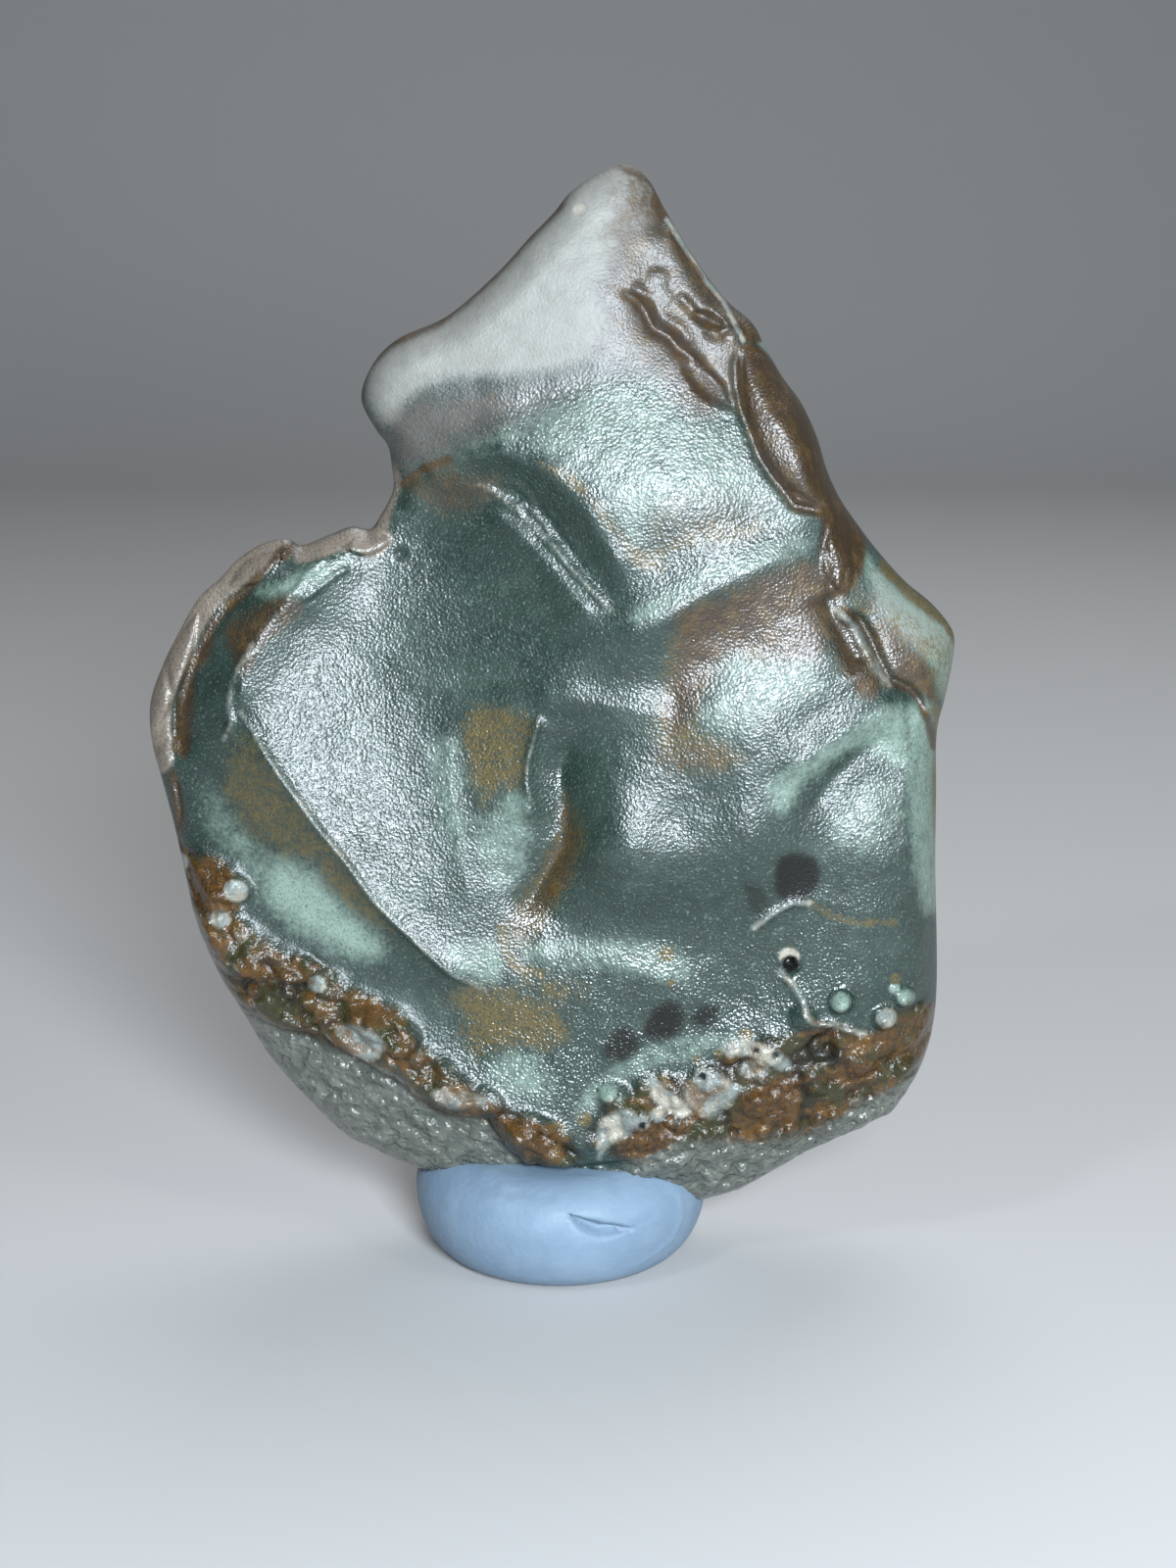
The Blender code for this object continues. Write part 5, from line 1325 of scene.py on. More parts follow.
class NodeKit:
    """Adds and joins the shader nodes of one material."""

    def __init__(self, name: str) -> None:
        """Starts a material with an output and one Principled shader.

        Args:
            name: The material's name.
        """
        self.material = bpy.data.materials.new(name)
        self.material.use_nodes = True
        self.tree = self.material.node_tree
        self.tree.nodes.clear()
        self.shader = self.tree.nodes.new("ShaderNodeBsdfPrincipled")
        output = self.tree.nodes.new("ShaderNodeOutputMaterial")
        self.tree.links.new(self.shader.outputs[0], output.inputs["Surface"])
        self.place = self.tree.nodes.new("ShaderNodeTexCoord").outputs["Object"]

    def link(self, value: object, socket: bpy.types.NodeSocket) -> None:
        """Sets a socket from a number, a colour or another node's output.

        Args:
            value: What goes in.
            socket: The socket that takes it.
        """
        if isinstance(value, bpy.types.NodeSocket):
            self.tree.links.new(value, socket)
        else:
            socket.default_value = value

    def attribute(self, mark: Mark) -> bpy.types.NodeSocket:
        """Reads a marking of the mesh."""
        node = self.tree.nodes.new("ShaderNodeAttribute")
        node.attribute_name = mark.value
        return node.outputs["Fac"]

    def noise(
        self, size: float, detail: float = 3.0, roughness: float = 0.55, distortion: float = 0.0,
    ) -> bpy.types.NodeSocket:
        """Adds cloudy noise.

        Args:
            size: The size of its largest features, in millimetres.
            detail: How many finer layers it has.
            roughness: How strong they are.
            distortion: How much it is swirled.

        Returns:
            Its value, about 0.5.
        """
        node = self.tree.nodes.new("ShaderNodeTexNoise")
        self.link(self.place, node.inputs["Vector"])
        node.inputs["Scale"].default_value = 1.0 / (size * MM)
        node.inputs["Detail"].default_value = detail
        node.inputs["Roughness"].default_value = roughness
        node.inputs["Distortion"].default_value = distortion
        return node.outputs["Fac"]

    def cells(self, size: float, smooth: float = 0.3) -> bpy.types.NodeSocket:
        """Adds rounded cells.

        Args:
            size: The size of one cell, in millimetres.
            smooth: How far they melt together.

        Returns:
            The distance to the middle of the cell.
        """
        node = self.tree.nodes.new("ShaderNodeTexVoronoi")
        node.feature = "SMOOTH_F1"
        self.link(self.place, node.inputs["Vector"])
        node.inputs["Scale"].default_value = 1.0 / (size * MM)
        node.inputs["Smoothness"].default_value = smooth
        return node.outputs["Distance"]

    def math(self, operation: str, first: object, second: object = 0.0) -> bpy.types.NodeSocket:
        """Adds arithmetic on one or two values."""
        node = self.tree.nodes.new("ShaderNodeMath")
        node.operation = operation
        self.link(first, node.inputs[0])
        self.link(second, node.inputs[1])
        return node.outputs[0]

    def ramp(
        self, value: object, low: float, high: float, start: float = 0.0, stop: float = 1.0,
    ) -> bpy.types.NodeSocket:
        """Eases a value from one range to another.

        Args:
            value: What is read.
            low: The value that gives start.
            high: The value that gives stop.
            start: The first result.
            stop: The last result.

        Returns:
            The eased value.
        """
        node = self.tree.nodes.new("ShaderNodeMapRange")
        node.interpolation_type = "SMOOTHSTEP"
        self.link(value, node.inputs["Value"])
        node.inputs["From Min"].default_value = low
        node.inputs["From Max"].default_value = high
        node.inputs["To Min"].default_value = start
        node.inputs["To Max"].default_value = stop
        return node.outputs[0]

    def mix(self, share: object, first: object, second: object) -> bpy.types.NodeSocket:
        """Mixes two colours by a share."""
        node = self.tree.nodes.new("ShaderNodeMix")
        node.data_type = "RGBA"
        self.link(share, node.inputs[0])
        self.link(first, node.inputs[6])
        self.link(second, node.inputs[7])
        return node.outputs[2]

    def blend(self, share: object, first: object, second: object) -> bpy.types.NodeSocket:
        """Mixes two numbers by a share."""
        node = self.tree.nodes.new("ShaderNodeMix")
        node.data_type = "FLOAT"
        self.link(share, node.inputs[0])
        self.link(first, node.inputs[2])
        self.link(second, node.inputs[3])
        return node.outputs[0]

    def bump(
        self, height: object, depth: float, below: object = None, strength: object = 1.0,
    ) -> bpy.types.NodeSocket:
        """Adds fine relief.

        Args:
            height: The relief, from 0 to 1.
            depth: Its depth in millimetres.
            below: The relief that it lies on, if any.
            strength: How much of it shows.

        Returns:
            The normal.
        """
        node = self.tree.nodes.new("ShaderNodeBump")
        node.inputs["Distance"].default_value = depth * MM
        self.link(strength, node.inputs["Strength"])
        self.link(height, node.inputs["Height"])
        if below is not None:
            self.link(below, node.inputs["Normal"])
        return node.outputs["Normal"]


@dataclass(frozen=True)
class AgateFinish:
    """Polished green and cream agate with an orange-peel skin and a beaded, rusty crust."""

    deep: Colour = (0.011, 0.022, 0.018, 1.0)
    teal: Colour = (0.019, 0.039, 0.031, 1.0)
    painted_glint: Colour = (0.210, 0.270, 0.240, 1.0)
    mint: Colour = (0.200, 0.275, 0.230, 1.0)
    pale: Colour = (0.200, 0.202, 0.182, 1.0)
    haze_and_shade: Colour = (0.090, 0.082, 0.078, 1.0)
    umber_and_shade: Colour = (0.034, 0.019, 0.008, 1.0)
    amber: Colour = (0.072, 0.042, 0.012, 1.0)
    ochre: Colour = (0.112, 0.076, 0.017, 1.0)
    rust: Colour = (0.092, 0.043, 0.009, 1.0)
    cream: Colour = (0.330, 0.310, 0.255, 1.0)
    milk: Colour = (0.190, 0.215, 0.200, 1.0)
    lip: Colour = (0.170, 0.140, 0.110, 1.0)
    grout: Colour = (0.014, 0.010, 0.006, 1.0)
    moss: Colour = (0.030, 0.028, 0.010, 1.0)
    pebble: Colour = (0.066, 0.074, 0.062, 1.0)
    pebble_top: Colour = (0.130, 0.136, 0.118, 1.0)
    ink: Colour = (0.008, 0.009, 0.008, 1.0)
    gloss: float = 0.32
    slick: float = 0.2
    wet: float = 0.17
    satin: float = 0.46
    dull: float = 0.6
    peel_size: float = 0.25
    peel_depth: float = 0.048
    pimple_size: float = 0.55
    pimple_depth: float = 0.2
    grain_size: float = 0.2
    grain_depth: float = 0.055
    grit_depth: float = 0.05
    ior: float = 1.54
    shine: float = 0.7
    crust_shine: float = 0.4
    ink_shine: float = 0.3

    def make(self) -> bpy.types.Material:
        """Builds the stone's material.

        Returns:
            The material, which reads the markings of the mesh.
        """
        kit = NodeKit("agate")
        cloud = kit.noise(9.0, 4.0, 0.6, 0.4)
        ragged = kit.noise(1.5, 5.0, 0.65)
        grit = kit.noise(0.4, 3.0, 0.6)
        speck = kit.noise(0.22, 2.0, 0.5)
        lode = kit.noise(3.2, 3.0, 0.6, 0.5)
        veil = kit.noise(1.9, 3.0, 0.6, 0.8)

        def spread(mark: Mark, fray: float) -> bpy.types.NodeSocket:
            """Frays a marking's soft edge with noise."""
            shift = kit.math("MULTIPLY", kit.math("SUBTRACT", kit.math("ADD", ragged, grit), 1.0), fray)
            own = kit.attribute(mark)
            within = kit.math("MULTIPLY", shift, kit.ramp(own, 0.0, 0.25))
            return kit.ramp(kit.math("ADD", own, within), 0.08, 0.92)

        colour = kit.mix(kit.ramp(ragged, 0.2, 0.8), self.deep, self.teal)
        colour = kit.mix(kit.ramp(cloud, 0.5, 0.8, 0.0, 0.14), colour, self.mint)
        # Pale specks over the stone: painted glints that stand in for the fine sparkle of its polished skin.
        colour = kit.mix(kit.ramp(speck, 0.6, 0.7, 0.0, 0.35), colour, self.painted_glint)
        freckled = kit.mix(kit.ramp(speck, 0.6, 0.7, 0.0, 0.55), self.mint, self.deep)
        colour = kit.mix(spread(Mark.MINT, 0.6), colour, freckled)
        # Grey-brown haze: the blade's own tone, and painted shade in the band under the blade.
        colour = kit.mix(spread(Mark.HAZE_AND_SHADE, 0.5), colour, self.haze_and_shade)
        stone_white = kit.mix(kit.ramp(ragged, 0.35, 0.75, 0.0, 0.35), self.pale, self.haze_and_shade)
        colour = kit.mix(spread(Mark.PALE, 0.5), colour, stone_white)
        lip = kit.mix(kit.ramp(ragged, 0.45, 0.7, 0.0, 0.5), self.lip, self.haze_and_shade)
        colour = kit.mix(spread(Mark.LIP, 0.4), colour, lip)
        ochre = kit.mix(kit.ramp(speck, 0.46, 0.6, 0.0, 0.75), self.ochre, self.deep)
        colour = kit.mix(kit.math("MULTIPLY", spread(Mark.OCHRE, 1.3), 0.92), colour, ochre)
        # Brown: the stone's own brown, and painted shade under the blade and under the hollow's arch.
        brown_and_shade = kit.mix(kit.ramp(ragged, 0.45, 0.72), self.umber_and_shade, self.amber)
        colour = kit.mix(spread(Mark.UMBER_AND_SHADE, 0.7), colour, brown_and_shade)

        bare = kit.math("SUBTRACT", 1.0, kit.attribute(Mark.PALE))
        flecks = kit.math("MULTIPLY", kit.ramp(speck, 0.46, 0.32, 0.0, 0.5), bare)
        colour = kit.mix(flecks, colour, self.deep)

        crown = kit.attribute(Mark.BEAD)
        light = kit.blend(kit.ramp(veil, 0.35, 0.7), 0.0, kit.ramp(crown, 0.1, 1.0, 0.4, 1.0))
        pebbles = kit.mix(light, self.pebble, self.pebble_top)
        colour = kit.mix(spread(Mark.PEBBLE, 0.6), colour, pebbles)
        beads = kit.mix(kit.ramp(ragged, 0.44, 0.58), self.umber_and_shade, self.amber)
        beads = kit.mix(kit.ramp(lode, 0.52, 0.64), beads, self.rust)
        beads = kit.mix(kit.ramp(lode, 0.51, 0.44), beads, self.moss)
        beads = kit.mix(kit.ramp(crown, 0.12, 0.5), self.grout, beads)
        # Cream on the beads' crowns: partly the crust's own pale grains, partly painted highlights on the
        # bead tops.
        crown_cream_and_glint = kit.math("MULTIPLY", kit.ramp(crown, 0.55, 0.95, 0.0, 0.5), kit.ramp(veil, 0.58, 0.7))
        beads = kit.mix(crown_cream_and_glint, beads, self.cream)
        colour = kit.mix(spread(Mark.CRUST, 1.3), colour, beads)
        rusty = kit.mix(kit.ramp(grit, 0.35, 0.7), self.umber_and_shade, self.rust)
        colour = kit.mix(spread(Mark.RUST, 0.9), colour, rusty)
        veins = kit.mix(kit.ramp(veil, 0.46, 0.58), self.milk, self.cream)
        veins = kit.mix(kit.ramp(lode, 0.55, 0.64, 0.0, 0.7), veins, self.rust)
        colour = kit.mix(spread(Mark.CREAM, 0.6), colour, veins)
        colour = kit.mix(spread(Mark.INK, 0.8), colour, self.ink)
        kit.link(colour, kit.shader.inputs["Base Color"])

        crusty = kit.math("MAXIMUM", kit.attribute(Mark.CRUST), kit.attribute(Mark.PEBBLE))
        gloss = kit.math("ADD", kit.math("MULTIPLY", kit.math("SUBTRACT", ragged, 0.5), 0.16), self.gloss)
        gloss = kit.blend(kit.attribute(Mark.SLICK), gloss, self.slick)
        gloss = kit.blend(kit.attribute(Mark.SATIN), gloss, self.satin)
        gloss = kit.blend(kit.attribute(Mark.PALE), gloss, self.dull)
        kit.link(kit.blend(crusty, gloss, self.wet), kit.shader.inputs["Roughness"])

        rough = kit.math("SUBTRACT", 1.0, kit.attribute(Mark.SATIN))
        peel = kit.cells(self.peel_size, 0.5)
        grain = kit.noise(self.grain_size, 2.0, 0.5)
        normal = kit.bump(peel, self.peel_depth, None, kit.ramp(rough, 0.0, 1.0, 0.3, 1.0))
        normal = kit.bump(grain, self.grain_depth, normal)
        normal = kit.bump(grit, self.grit_depth, normal, crusty)
        pimples = kit.cells(self.pimple_size, 0.6)
        normal = kit.bump(pimples, self.pimple_depth, normal, kit.attribute(Mark.PEBBLE))
        kit.link(normal, kit.shader.inputs["Normal"])
        kit.shader.inputs["IOR"].default_value = self.ior
        shine = kit.blend(kit.attribute(Mark.CRUST), self.shine, self.crust_shine)
        shine = kit.blend(kit.attribute(Mark.INK), shine, self.ink_shine)
        kit.link(shine, kit.shader.inputs["Specular IOR Level"])
        return kit.material


@dataclass(frozen=True)
class PuttyFinish:
    """Matte blue-grey putty with faint finger smears."""

    blue: Colour = (0.146, 0.212, 0.290, 1.0)
    dusty: Colour = (0.175, 0.247, 0.325, 1.0)
    smear: Colour = (0.110, 0.168, 0.250, 1.0)

    def make(self) -> bpy.types.Material:
        """Builds the putty's material.

        Returns:
            The material.
        """
        kit = NodeKit("putty")
        broad = kit.noise(4.0, 4.0, 0.6)
        fine = kit.noise(0.5, 3.0, 0.6)
        colour = kit.mix(kit.ramp(broad, 0.35, 0.7), self.blue, self.dusty)
        colour = kit.mix(kit.ramp(fine, 0.6, 0.75, 0.0, 0.4), colour, self.smear)
        kit.link(colour, kit.shader.inputs["Base Color"])
        kit.link(kit.ramp(fine, 0.3, 0.7, 0.5, 0.7), kit.shader.inputs["Roughness"])
        kit.link(kit.bump(fine, 0.03, kit.bump(broad, 0.12)), kit.shader.inputs["Normal"])
        return kit.material


@dataclass(frozen=True)
class PlainFinish:
    """One plain colour, for the floor."""

    name: str
    colour: Colour
    roughness: float

    def make(self) -> bpy.types.Material:
        """Builds the material.

        Returns:
            The material.
        """
        kit = NodeKit(self.name)
        kit.shader.inputs["Base Color"].default_value = self.colour
        kit.shader.inputs["Roughness"].default_value = self.roughness
        return kit.material


def points_of(mesh: bpy.types.Mesh) -> np.ndarray:
    """Reads a mesh's points.

    Args:
        mesh: The mesh.

    Returns:
        Rows of (x, y, z) in millimetres.
    """
    flat = np.empty(len(mesh.vertices) * 3, np.float32)
    mesh.vertices.foreach_get("co", flat)
    return flat.reshape(-1, 3).astype(float) / MM


def move_points(mesh: bpy.types.Mesh, points: np.ndarray) -> None:
    """Moves a mesh's points.

    Args:
        mesh: The mesh.
        points: Rows of (x, y, z) in millimetres.
    """
    mesh.vertices.foreach_set("co", (points * MM).astype(np.float32).ravel())
    mesh.update()


def add_object(name: str, mesh: bpy.types.Mesh) -> bpy.types.Object:
    """Links a new object into the scene.

    Args:
        name: The object's name.
        mesh: Its mesh.

    Returns:
        The object.
    """
    made = bpy.data.objects.new(name, mesh)
    bpy.context.scene.collection.objects.link(made)
    return made


def apply_modifiers(made: bpy.types.Object) -> bpy.types.Mesh:
    """Replaces an object's mesh with the one that its modifiers give.

    Args:
        made: The object.

    Returns:
        The new mesh.
    """
    bpy.context.view_layer.update()
    graph = bpy.context.evaluated_depsgraph_get()
    mesh = bpy.data.meshes.new_from_object(made.evaluated_get(graph))
    made.modifiers.clear()
    made.data = mesh
    return mesh


def even_cells(made: bpy.types.Object, cell: float) -> bpy.types.Mesh:
    """Gives an object a mesh of even cells.

    Args:
        made: The object.
        cell: The size of one cell, in millimetres.

    Returns:
        The new mesh.
    """
    modifier = made.modifiers.new("even_cells", "REMESH")
    modifier.mode = "VOXEL"
    modifier.voxel_size = cell * MM
    return apply_modifiers(made)


@dataclass
class AgateStone:
    """The stone: one natural piece with a hollowed, crusted front and a plain weathered back."""

    relief: Relief
    finish: AgateFinish
    half_blank: float = 3.0
    rim_width: float = 2.6
    cell: float = 0.7
    front_cuts: int = 2
    front_margin: float = 0.2
    outline_steps: int = 6
    patch_steps: int = 4
    rim_blur: float = 0.6
    rim_band: float = 0.15
    spot_core: float = 0.7
    spot_blur: float = 0.6
    outline: np.ndarray = field(init=False)
    piece: bpy.types.Object = field(init=False)

    def build(self) -> bpy.types.Object:
        """Models, marks and dresses the stone.

        Returns:
            The finished object.
        """
        self.outline = smooth_loop(OUTLINE, self.outline_steps)
        self.piece = add_object("agate", self._blank())
        mesh = even_cells(self.piece, self.cell)
        self._refine_front(mesh)
        self._lay_relief(mesh)
        self._mark(mesh)
        mesh.shade_smooth()
        mesh.materials.clear()
        mesh.materials.append(self.finish.make())
        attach(self.piece, "root")
        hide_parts("agate_stone")
        return self.piece

    def _blank(self) -> bpy.types.Mesh:
        """Draws the outline as one face and pulls it out to a slab."""
        bm = bmesh.new()
        ring = [bm.verts.new((x * MM, -self.half_blank * MM, z * MM)) for x, z in self.outline]
        face = bm.faces.new(ring)
        pulled = bmesh.ops.extrude_face_region(bm, geom=[face])["geom"]
        moved = [item for item in pulled if isinstance(item, bmesh.types.BMVert)]
        bmesh.ops.translate(bm, verts=moved, vec=(0.0, 2.0 * self.half_blank * MM, 0.0))
        bmesh.ops.recalc_face_normals(bm, faces=bm.faces)
        mesh = bpy.data.meshes.new("agate")
        bm.to_mesh(mesh)
        bm.free()
        return mesh

    def _refine_front(self, mesh: bpy.types.Mesh) -> None:
        """Splits the cells of the front and of the rim's near half.

        Args:
            mesh: The slab's mesh of even cells.
        """
        bm = bmesh.new()
        bm.from_mesh(mesh)
        front = {face for face in bm.faces if all(vert.co.y < -self.front_margin * MM for vert in face.verts)}
        edges = {edge for face in front for edge in face.edges}
        bmesh.ops.subdivide_edges(bm, edges=list(edges), cuts=self.front_cuts, use_grid_fill=True)
        bm.to_mesh(mesh)
        bm.free()

    def _rim_normals(self, points: np.ndarray) -> np.ndarray:
        """Gives the outline's inward direction at points that lie on it."""
        ways = np.roll(self.outline, -1, axis=0) - self.outline
        middles = self.outline + ways / 2.0
        inwards = np.column_stack([ways[:, 1], -ways[:, 0]])
        inwards /= np.linalg.norm(inwards, axis=1)[:, None]
        found = np.zeros((len(points), 2))
        for block in blocks_of(len(points)):
            gaps = np.linalg.norm(points[block][:, None, :] - middles[None, :, :], axis=2)
            found[block] = (np.exp(-(gaps / self.rim_blur) ** 2) + 1e-12) @ inwards
        return found

    def _lay_relief(self, mesh: bpy.types.Mesh) -> None:
        """Rounds the slab's rim and moves its two faces to the relief.

        Args:
            mesh: The slab's mesh of even cells.
        """
        points = points_of(mesh)
        places = points[:, [0, 2]]
        near = nearest_on_line(places, self.outline, closed=True)
        inside = np.where(near.side < 0, near.gap, -near.gap)
        clear = near.gap[:, None] > self.rim_band
        inward = np.where(clear, (places - near.point) * np.sign(inside)[:, None], 0.0)
        inward += self._rim_normals(near.point) * ~clear
        inward /= np.maximum(np.linalg.norm(inward, axis=1), 1e-9)[:, None]
        travel = inside + np.abs(points[:, 1])
        turn = np.clip(travel / (self.half_blank + self.rim_width), 0.0, 1.0) * math.pi / 2.0
        inset = self.rim_width * (1.0 - np.cos(turn))
        at_rim = (turn < math.pi / 2.0)[:, None]
        places = np.where(at_rim, near.point + inward * inset[:, None], places)
        in_front = points[:, 1] < 0.0
        depth = np.where(in_front, -self.relief.front(places), self.relief.back(places)) * np.sin(turn)
        move_points(mesh, np.column_stack([places[:, 0], depth, places[:, 1]]))

    def _mark(self, mesh: bpy.types.Mesh) -> None:
        """Writes each marking on the mesh as one number per point.

        Args:
            mesh: The stone's mesh.
        """
        points = points_of(mesh)
        read = self.relief.sight.read(points)
        cover = {mark: np.zeros(len(points)) for mark in Mark}
        for patch in PATCHES:
            loop = smooth_loop(patch.outline, self.patch_steps)
            share = patch.strength * share_inside(read, loop, patch.softness)
            cover[patch.mark] = np.maximum(cover[patch.mark], share)
        for stroke in STROKES:
            line = np.array(stroke.points)
            near = near_box(read, line, stroke.half_width + stroke.softness)
            gap = nearest_on_line(read[near], line).gap
            outside = smooth_step((gap - stroke.half_width) / (2.0 * stroke.softness) + 0.5)
            share = stroke.strength * (1.0 - outside)
            cover[stroke.mark][near] = np.maximum(cover[stroke.mark][near], share)
        for spot in SPOTS:
            gap = np.linalg.norm(read - (spot.x, spot.z), axis=1) / spot.radius
            share = spot.strength * (1.0 - smooth_step((gap - self.spot_core) / self.spot_blur))
            cover[spot.mark] = np.maximum(cover[spot.mark], share)
        back = smooth_step(points[:, 1] / 3.0 + 0.3)
        self._mark_back(cover, points[:, [0, 2]], back)
        cover[Mark.BEAD] = self.relief.beads(points[:, [0, 2]])[1] * (1.0 - back)
        for mark, values in cover.items():
            layer = mesh.attributes.new(mark.value, "FLOAT", "POINT")
            layer.data.foreach_set("value", values.astype(np.float32))

    def _mark_back(self, cover: dict[Mark, np.ndarray], places: np.ndarray, back: np.ndarray) -> None:
        """Gives the back clouded markings of its own.

        Args:
            cover: The markings so far, which fade out there.
            places: The (x, z) places.
            back: How far on the back each place is, from 0 to 1.
        """
        grain = self.relief.grain
        cloud = 0.6 * grain.at(places, 13.0) + 0.4 * grain.at(places, 5.0)
        other = 0.6 * grain.at(places + 61.0, 10.0) + 0.4 * grain.at(places, 3.6)
        height = places[:, 1]
        own = {
            Mark.PALE: smooth_step((height - 72.0 + 14.0 * cloud) / 8.0),
            Mark.MINT: 0.7 * smooth_step((cloud - 0.05) / 0.5),
            Mark.UMBER_AND_SHADE: 0.9 * smooth_step((other - 0.22) / 0.3),
            Mark.OCHRE: 0.7 * smooth_step((-other - 0.25) / 0.3),
            Mark.CRUST: smooth_step((20.0 - height + 8.0 * cloud) / 4.0),
        }
        for mark in Mark:
            cover[mark] = cover[mark] * (1.0 - back) + own.get(mark, 0.0) * back


@dataclass
class PuttyFoot:
    """The pressed lump of putty that the stone stands in."""

    finish: PuttyFinish
    bulge_radius: float = 12.8
    bulge_height: float = 6.0
    base_radius: float = 8.8
    top_radius: float = 8.8
    top_height: float = 10.0
    sides: int = 96
    curve_steps: int = 14
    cell: float = 0.24
    face_start: float = 4.0
    slit_width: float = 0.48
    slit_depth: float = 1.3
    slit_sharpness: float = 0.05
    fold_fade: float = 0.25

    def build(self, stone: bpy.types.Object) -> bpy.types.Object:
        """Turns the lump, presses the stone into it and slits its front.

        Args:
            stone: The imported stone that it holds.

        Returns:
            The finished object.
        """
        piece = add_object("putty", self._lump())
        self._press(piece, stone)
        mesh = even_cells(piece, self.cell)
        self._shape(mesh)
        mesh.shade_smooth()
        mesh.materials.clear()
        mesh.materials.append(self.finish.make())
        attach(piece, "root")
        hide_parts("putty_foot")
        return piece

    def _profile(self) -> list[Place]:
        """Lists the side's (radius, height) points from the top of the axis down to the base."""
        profile = [(0.0, self.top_height + 0.6), (self.top_radius * 0.6, self.top_height + 0.4)]
        for step in range(self.curve_steps + 1):
            turn = math.radians(90.0 * (1.0 - step / self.curve_steps))
            radius = self.top_radius + (self.bulge_radius - self.top_radius) * math.cos(turn)
            height = self.bulge_height + (self.top_height - self.bulge_height) * math.sin(turn)
            profile.append((radius, height))
        for step in range(1, self.curve_steps + 1):
            turn = math.radians(90.0 * step / self.curve_steps)
            radius = self.base_radius + (self.bulge_radius - self.base_radius) * math.cos(turn)
            profile.append((radius, self.bulge_height * (1.0 - math.sin(turn))))
        return profile + [(0.0, 0.0)]

    def _lump(self) -> bpy.types.Mesh:
        """Turns the profile about the middle."""
        bm = bmesh.new()
        points = [bm.verts.new((radius * MM, 0.0, height * MM)) for radius, height in self._profile()]
        edges = [bm.edges.new(pair) for pair in zip(points, points[1:])]
        bmesh.ops.spin(
            bm, geom=points + edges, cent=(0.0, 0.0, 0.0), axis=(0.0, 0.0, 1.0), dvec=(0.0, 0.0, 0.0),
            angle=math.tau, steps=self.sides, use_merge=True, use_duplicate=False,
        )
        bmesh.ops.remove_doubles(bm, verts=bm.verts, dist=0.00001)
        bmesh.ops.recalc_face_normals(bm, faces=bm.faces)
        mesh = bpy.data.meshes.new("putty")
        bm.to_mesh(mesh)
        bm.free()
        return mesh

    def _press(self, piece: bpy.types.Object, stone: bpy.types.Object) -> None:
        """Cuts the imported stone's shape out of the lump.

        Args:
            piece: The lump.
            stone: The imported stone.
        """
        bm = bmesh.new()
        bm.from_mesh(stone.data)
        bmesh.ops.remove_doubles(bm, verts=bm.verts, dist=0.000001)
        mesh = bpy.data.meshes.new("press")
        bm.to_mesh(mesh)
        bm.free()
        cutter = add_object("press", mesh)
        modifier = piece.modifiers.new("press", "BOOLEAN")
        modifier.operation = "DIFFERENCE"
        modifier.solver = "EXACT"
        modifier.object = cutter
        apply_modifiers(piece)
        bpy.data.objects.remove(cutter, do_unlink=True)

    def _shape(self, mesh: bpy.types.Mesh) -> None:
        """Adds the slit, the pinched folds and the faint raised arc.

        Args:
            mesh: The lump's mesh of even cells.
        """
        points = points_of(mesh)
        radius = np.hypot(points[:, 0], points[:, 1])
        outward = np.column_stack([points[:, 0], points[:, 1]]) / np.maximum(radius, 1e-6)[:, None]
        front = points[:, 1] < -self.face_start
        face = points[:, [0, 2]]
        slit = nearest_on_line(face, np.array(PUTTY_SLIT))
        width = self.slit_width * np.sin(np.pi * np.clip(slit.along, 0.02, 0.98))
        cut = np.exp(-(slit.gap / np.maximum(width, self.slit_sharpness)) ** 2)
        push = np.where(front, -self.slit_depth * cut, 0.0)
        for fold in PUTTY_FOLDS:
            near = nearest_on_line(face, np.array(fold.points))
            rise = fold.height * near.fade(self.fold_fade) * np.exp(-(near.gap / fold.reach) ** 2)
            push += np.where(front, rise, 0.0)
        points[:, :2] += outward * push[:, None]
        move_points(mesh, points)


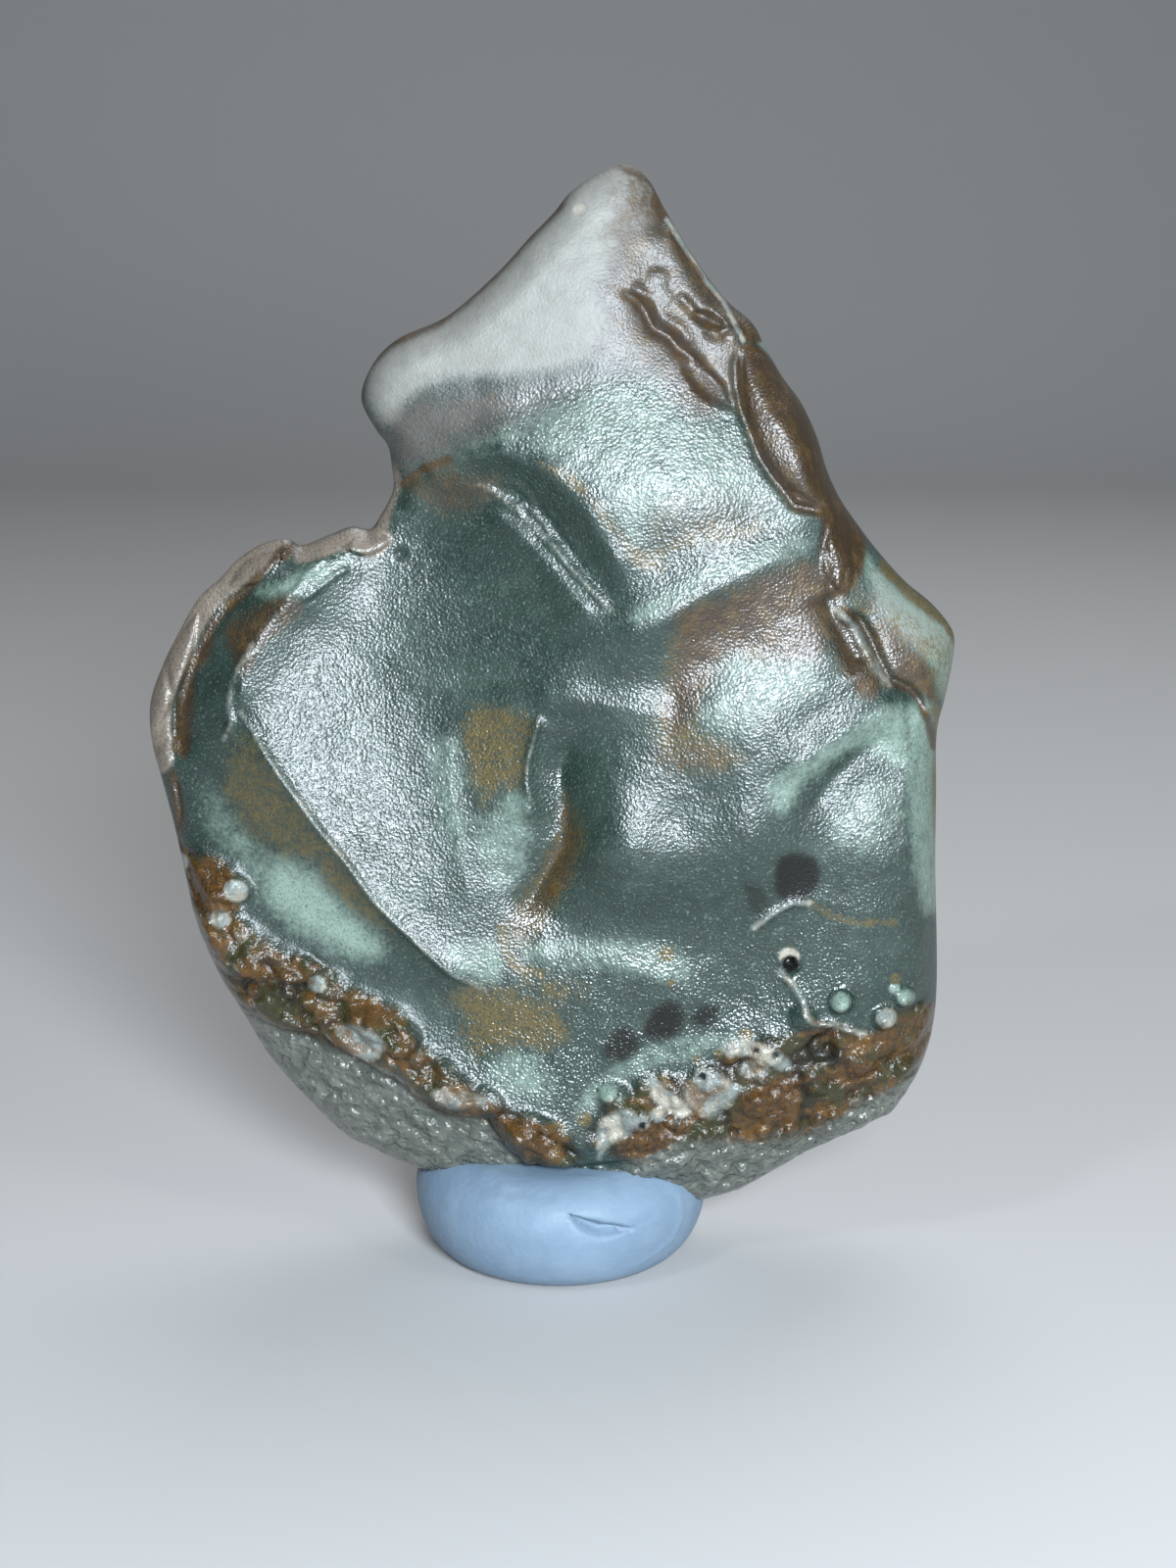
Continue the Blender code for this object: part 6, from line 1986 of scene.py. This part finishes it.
@dataclass
class Studio:
    """The pale floor, the lights and the camera."""

    target: tuple[float, float, float] = (2.4, 0.0, 42.2)
    elevation: float = 15.0
    distance: float = 250.0
    half_view: float = 15.0
    sensor: float = 36.0
    floor_half: float = 900.0
    floor_back: float = 420.0
    wall_height: float = 700.0
    wall_radius: float = 160.0
    wall_steps: int = 12
    floor_colour: Colour = (0.45, 0.45, 0.45, 1.0)
    floor_roughness: float = 0.8
    room_colour: Colour = (0.8, 0.85, 0.9, 1.0)
    room_strength: float = 0.07

    def build(self) -> None:
        """Sets up the floor, the lights and the camera."""
        self._floor()
        for lamp in LAMPS:
            self._light(lamp)
        self._surroundings()
        self._camera()

    def _floor(self) -> None:
        """Sweeps a floor that curves up into a wall."""
        bm = bmesh.new()
        profile = [(-self.floor_half, 0.0), (self.floor_back, 0.0)]
        for step in range(1, self.wall_steps + 1):
            turn = math.radians(90.0 * step / self.wall_steps)
            rise = self.wall_radius * (1.0 - math.cos(turn))
            profile.append((self.floor_back + self.wall_radius * math.sin(turn), rise))
        profile.append((self.floor_back + self.wall_radius, self.wall_height))
        points = [bm.verts.new((-self.floor_half * MM, y * MM, z * MM)) for y, z in profile]
        edges = [bm.edges.new(pair) for pair in zip(points, points[1:])]
        swept = bmesh.ops.extrude_edge_only(bm, edges=edges)["geom"]
        moved = [item for item in swept if isinstance(item, bmesh.types.BMVert)]
        bmesh.ops.translate(bm, verts=moved, vec=(2.0 * self.floor_half * MM, 0.0, 0.0))
        bmesh.ops.recalc_face_normals(bm, faces=bm.faces)
        mesh = bpy.data.meshes.new("floor")
        bm.to_mesh(mesh)
        bm.free()
        mesh.shade_smooth()
        mesh.materials.append(PlainFinish("pale_floor", self.floor_colour, self.floor_roughness).make())
        add_object("floor", mesh)

    def _light(self, lamp: Lamp) -> None:
        """Adds a square soft light that looks at the stone.

        Args:
            lamp: The light.
        """
        data = bpy.data.lights.new(lamp.name, "AREA")
        data.size = lamp.side * MM
        data.energy = lamp.power
        data.color = lamp.tint
        light = bpy.data.objects.new(lamp.name, data)
        place = Vector(lamp.place)
        light.location = place * MM
        light.rotation_euler = (Vector(self.target) - place).to_track_quat("-Z", "Y").to_euler()
        bpy.context.scene.collection.objects.link(light)

    def _surroundings(self) -> None:
        """Sets the soft light of the room."""
        world = bpy.data.worlds.new("room")
        world.use_nodes = True
        background = world.node_tree.nodes["Background"]
        background.inputs["Color"].default_value = self.room_colour
        background.inputs["Strength"].default_value = self.room_strength
        bpy.context.scene.world = world
        bpy.context.scene.view_settings.view_transform = "Standard"

    def _camera(self) -> None:
        """Places the camera at the photograph's viewing angle."""
        turn = math.radians(self.elevation)
        way = Vector((0.0, -math.cos(turn), math.sin(turn)))
        data = bpy.data.cameras.new("camera")
        data.sensor_width = self.sensor
        data.lens = self.sensor / 2.0 / math.tan(math.radians(self.half_view))
        data.clip_start = 0.01
        camera = bpy.data.objects.new("camera", data)
        camera.location = (Vector(self.target) + self.distance * way) * MM
        camera.rotation_euler = (-way).to_track_quat("-Z", "Y").to_euler()
        bpy.context.scene.collection.objects.link(camera)
        bpy.context.scene.camera = camera


def main() -> None:
    """Builds every piece in order."""
    logging.basicConfig(level=logging.INFO, format="%(name)s: %(message)s")
    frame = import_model()
    Studio().build()
    LOG.info("studio ready")
    stone = AgateStone(Relief(), AgateFinish()).build()
    LOG.info("stone: %d faces", len(stone.data.polygons))
    putty = PuttyFoot(PuttyFinish()).build(frame["nodes"]["agate_stone"])
    LOG.info("putty: %d faces", len(putty.data.polygons))


if __name__ == "__main__":
    main()
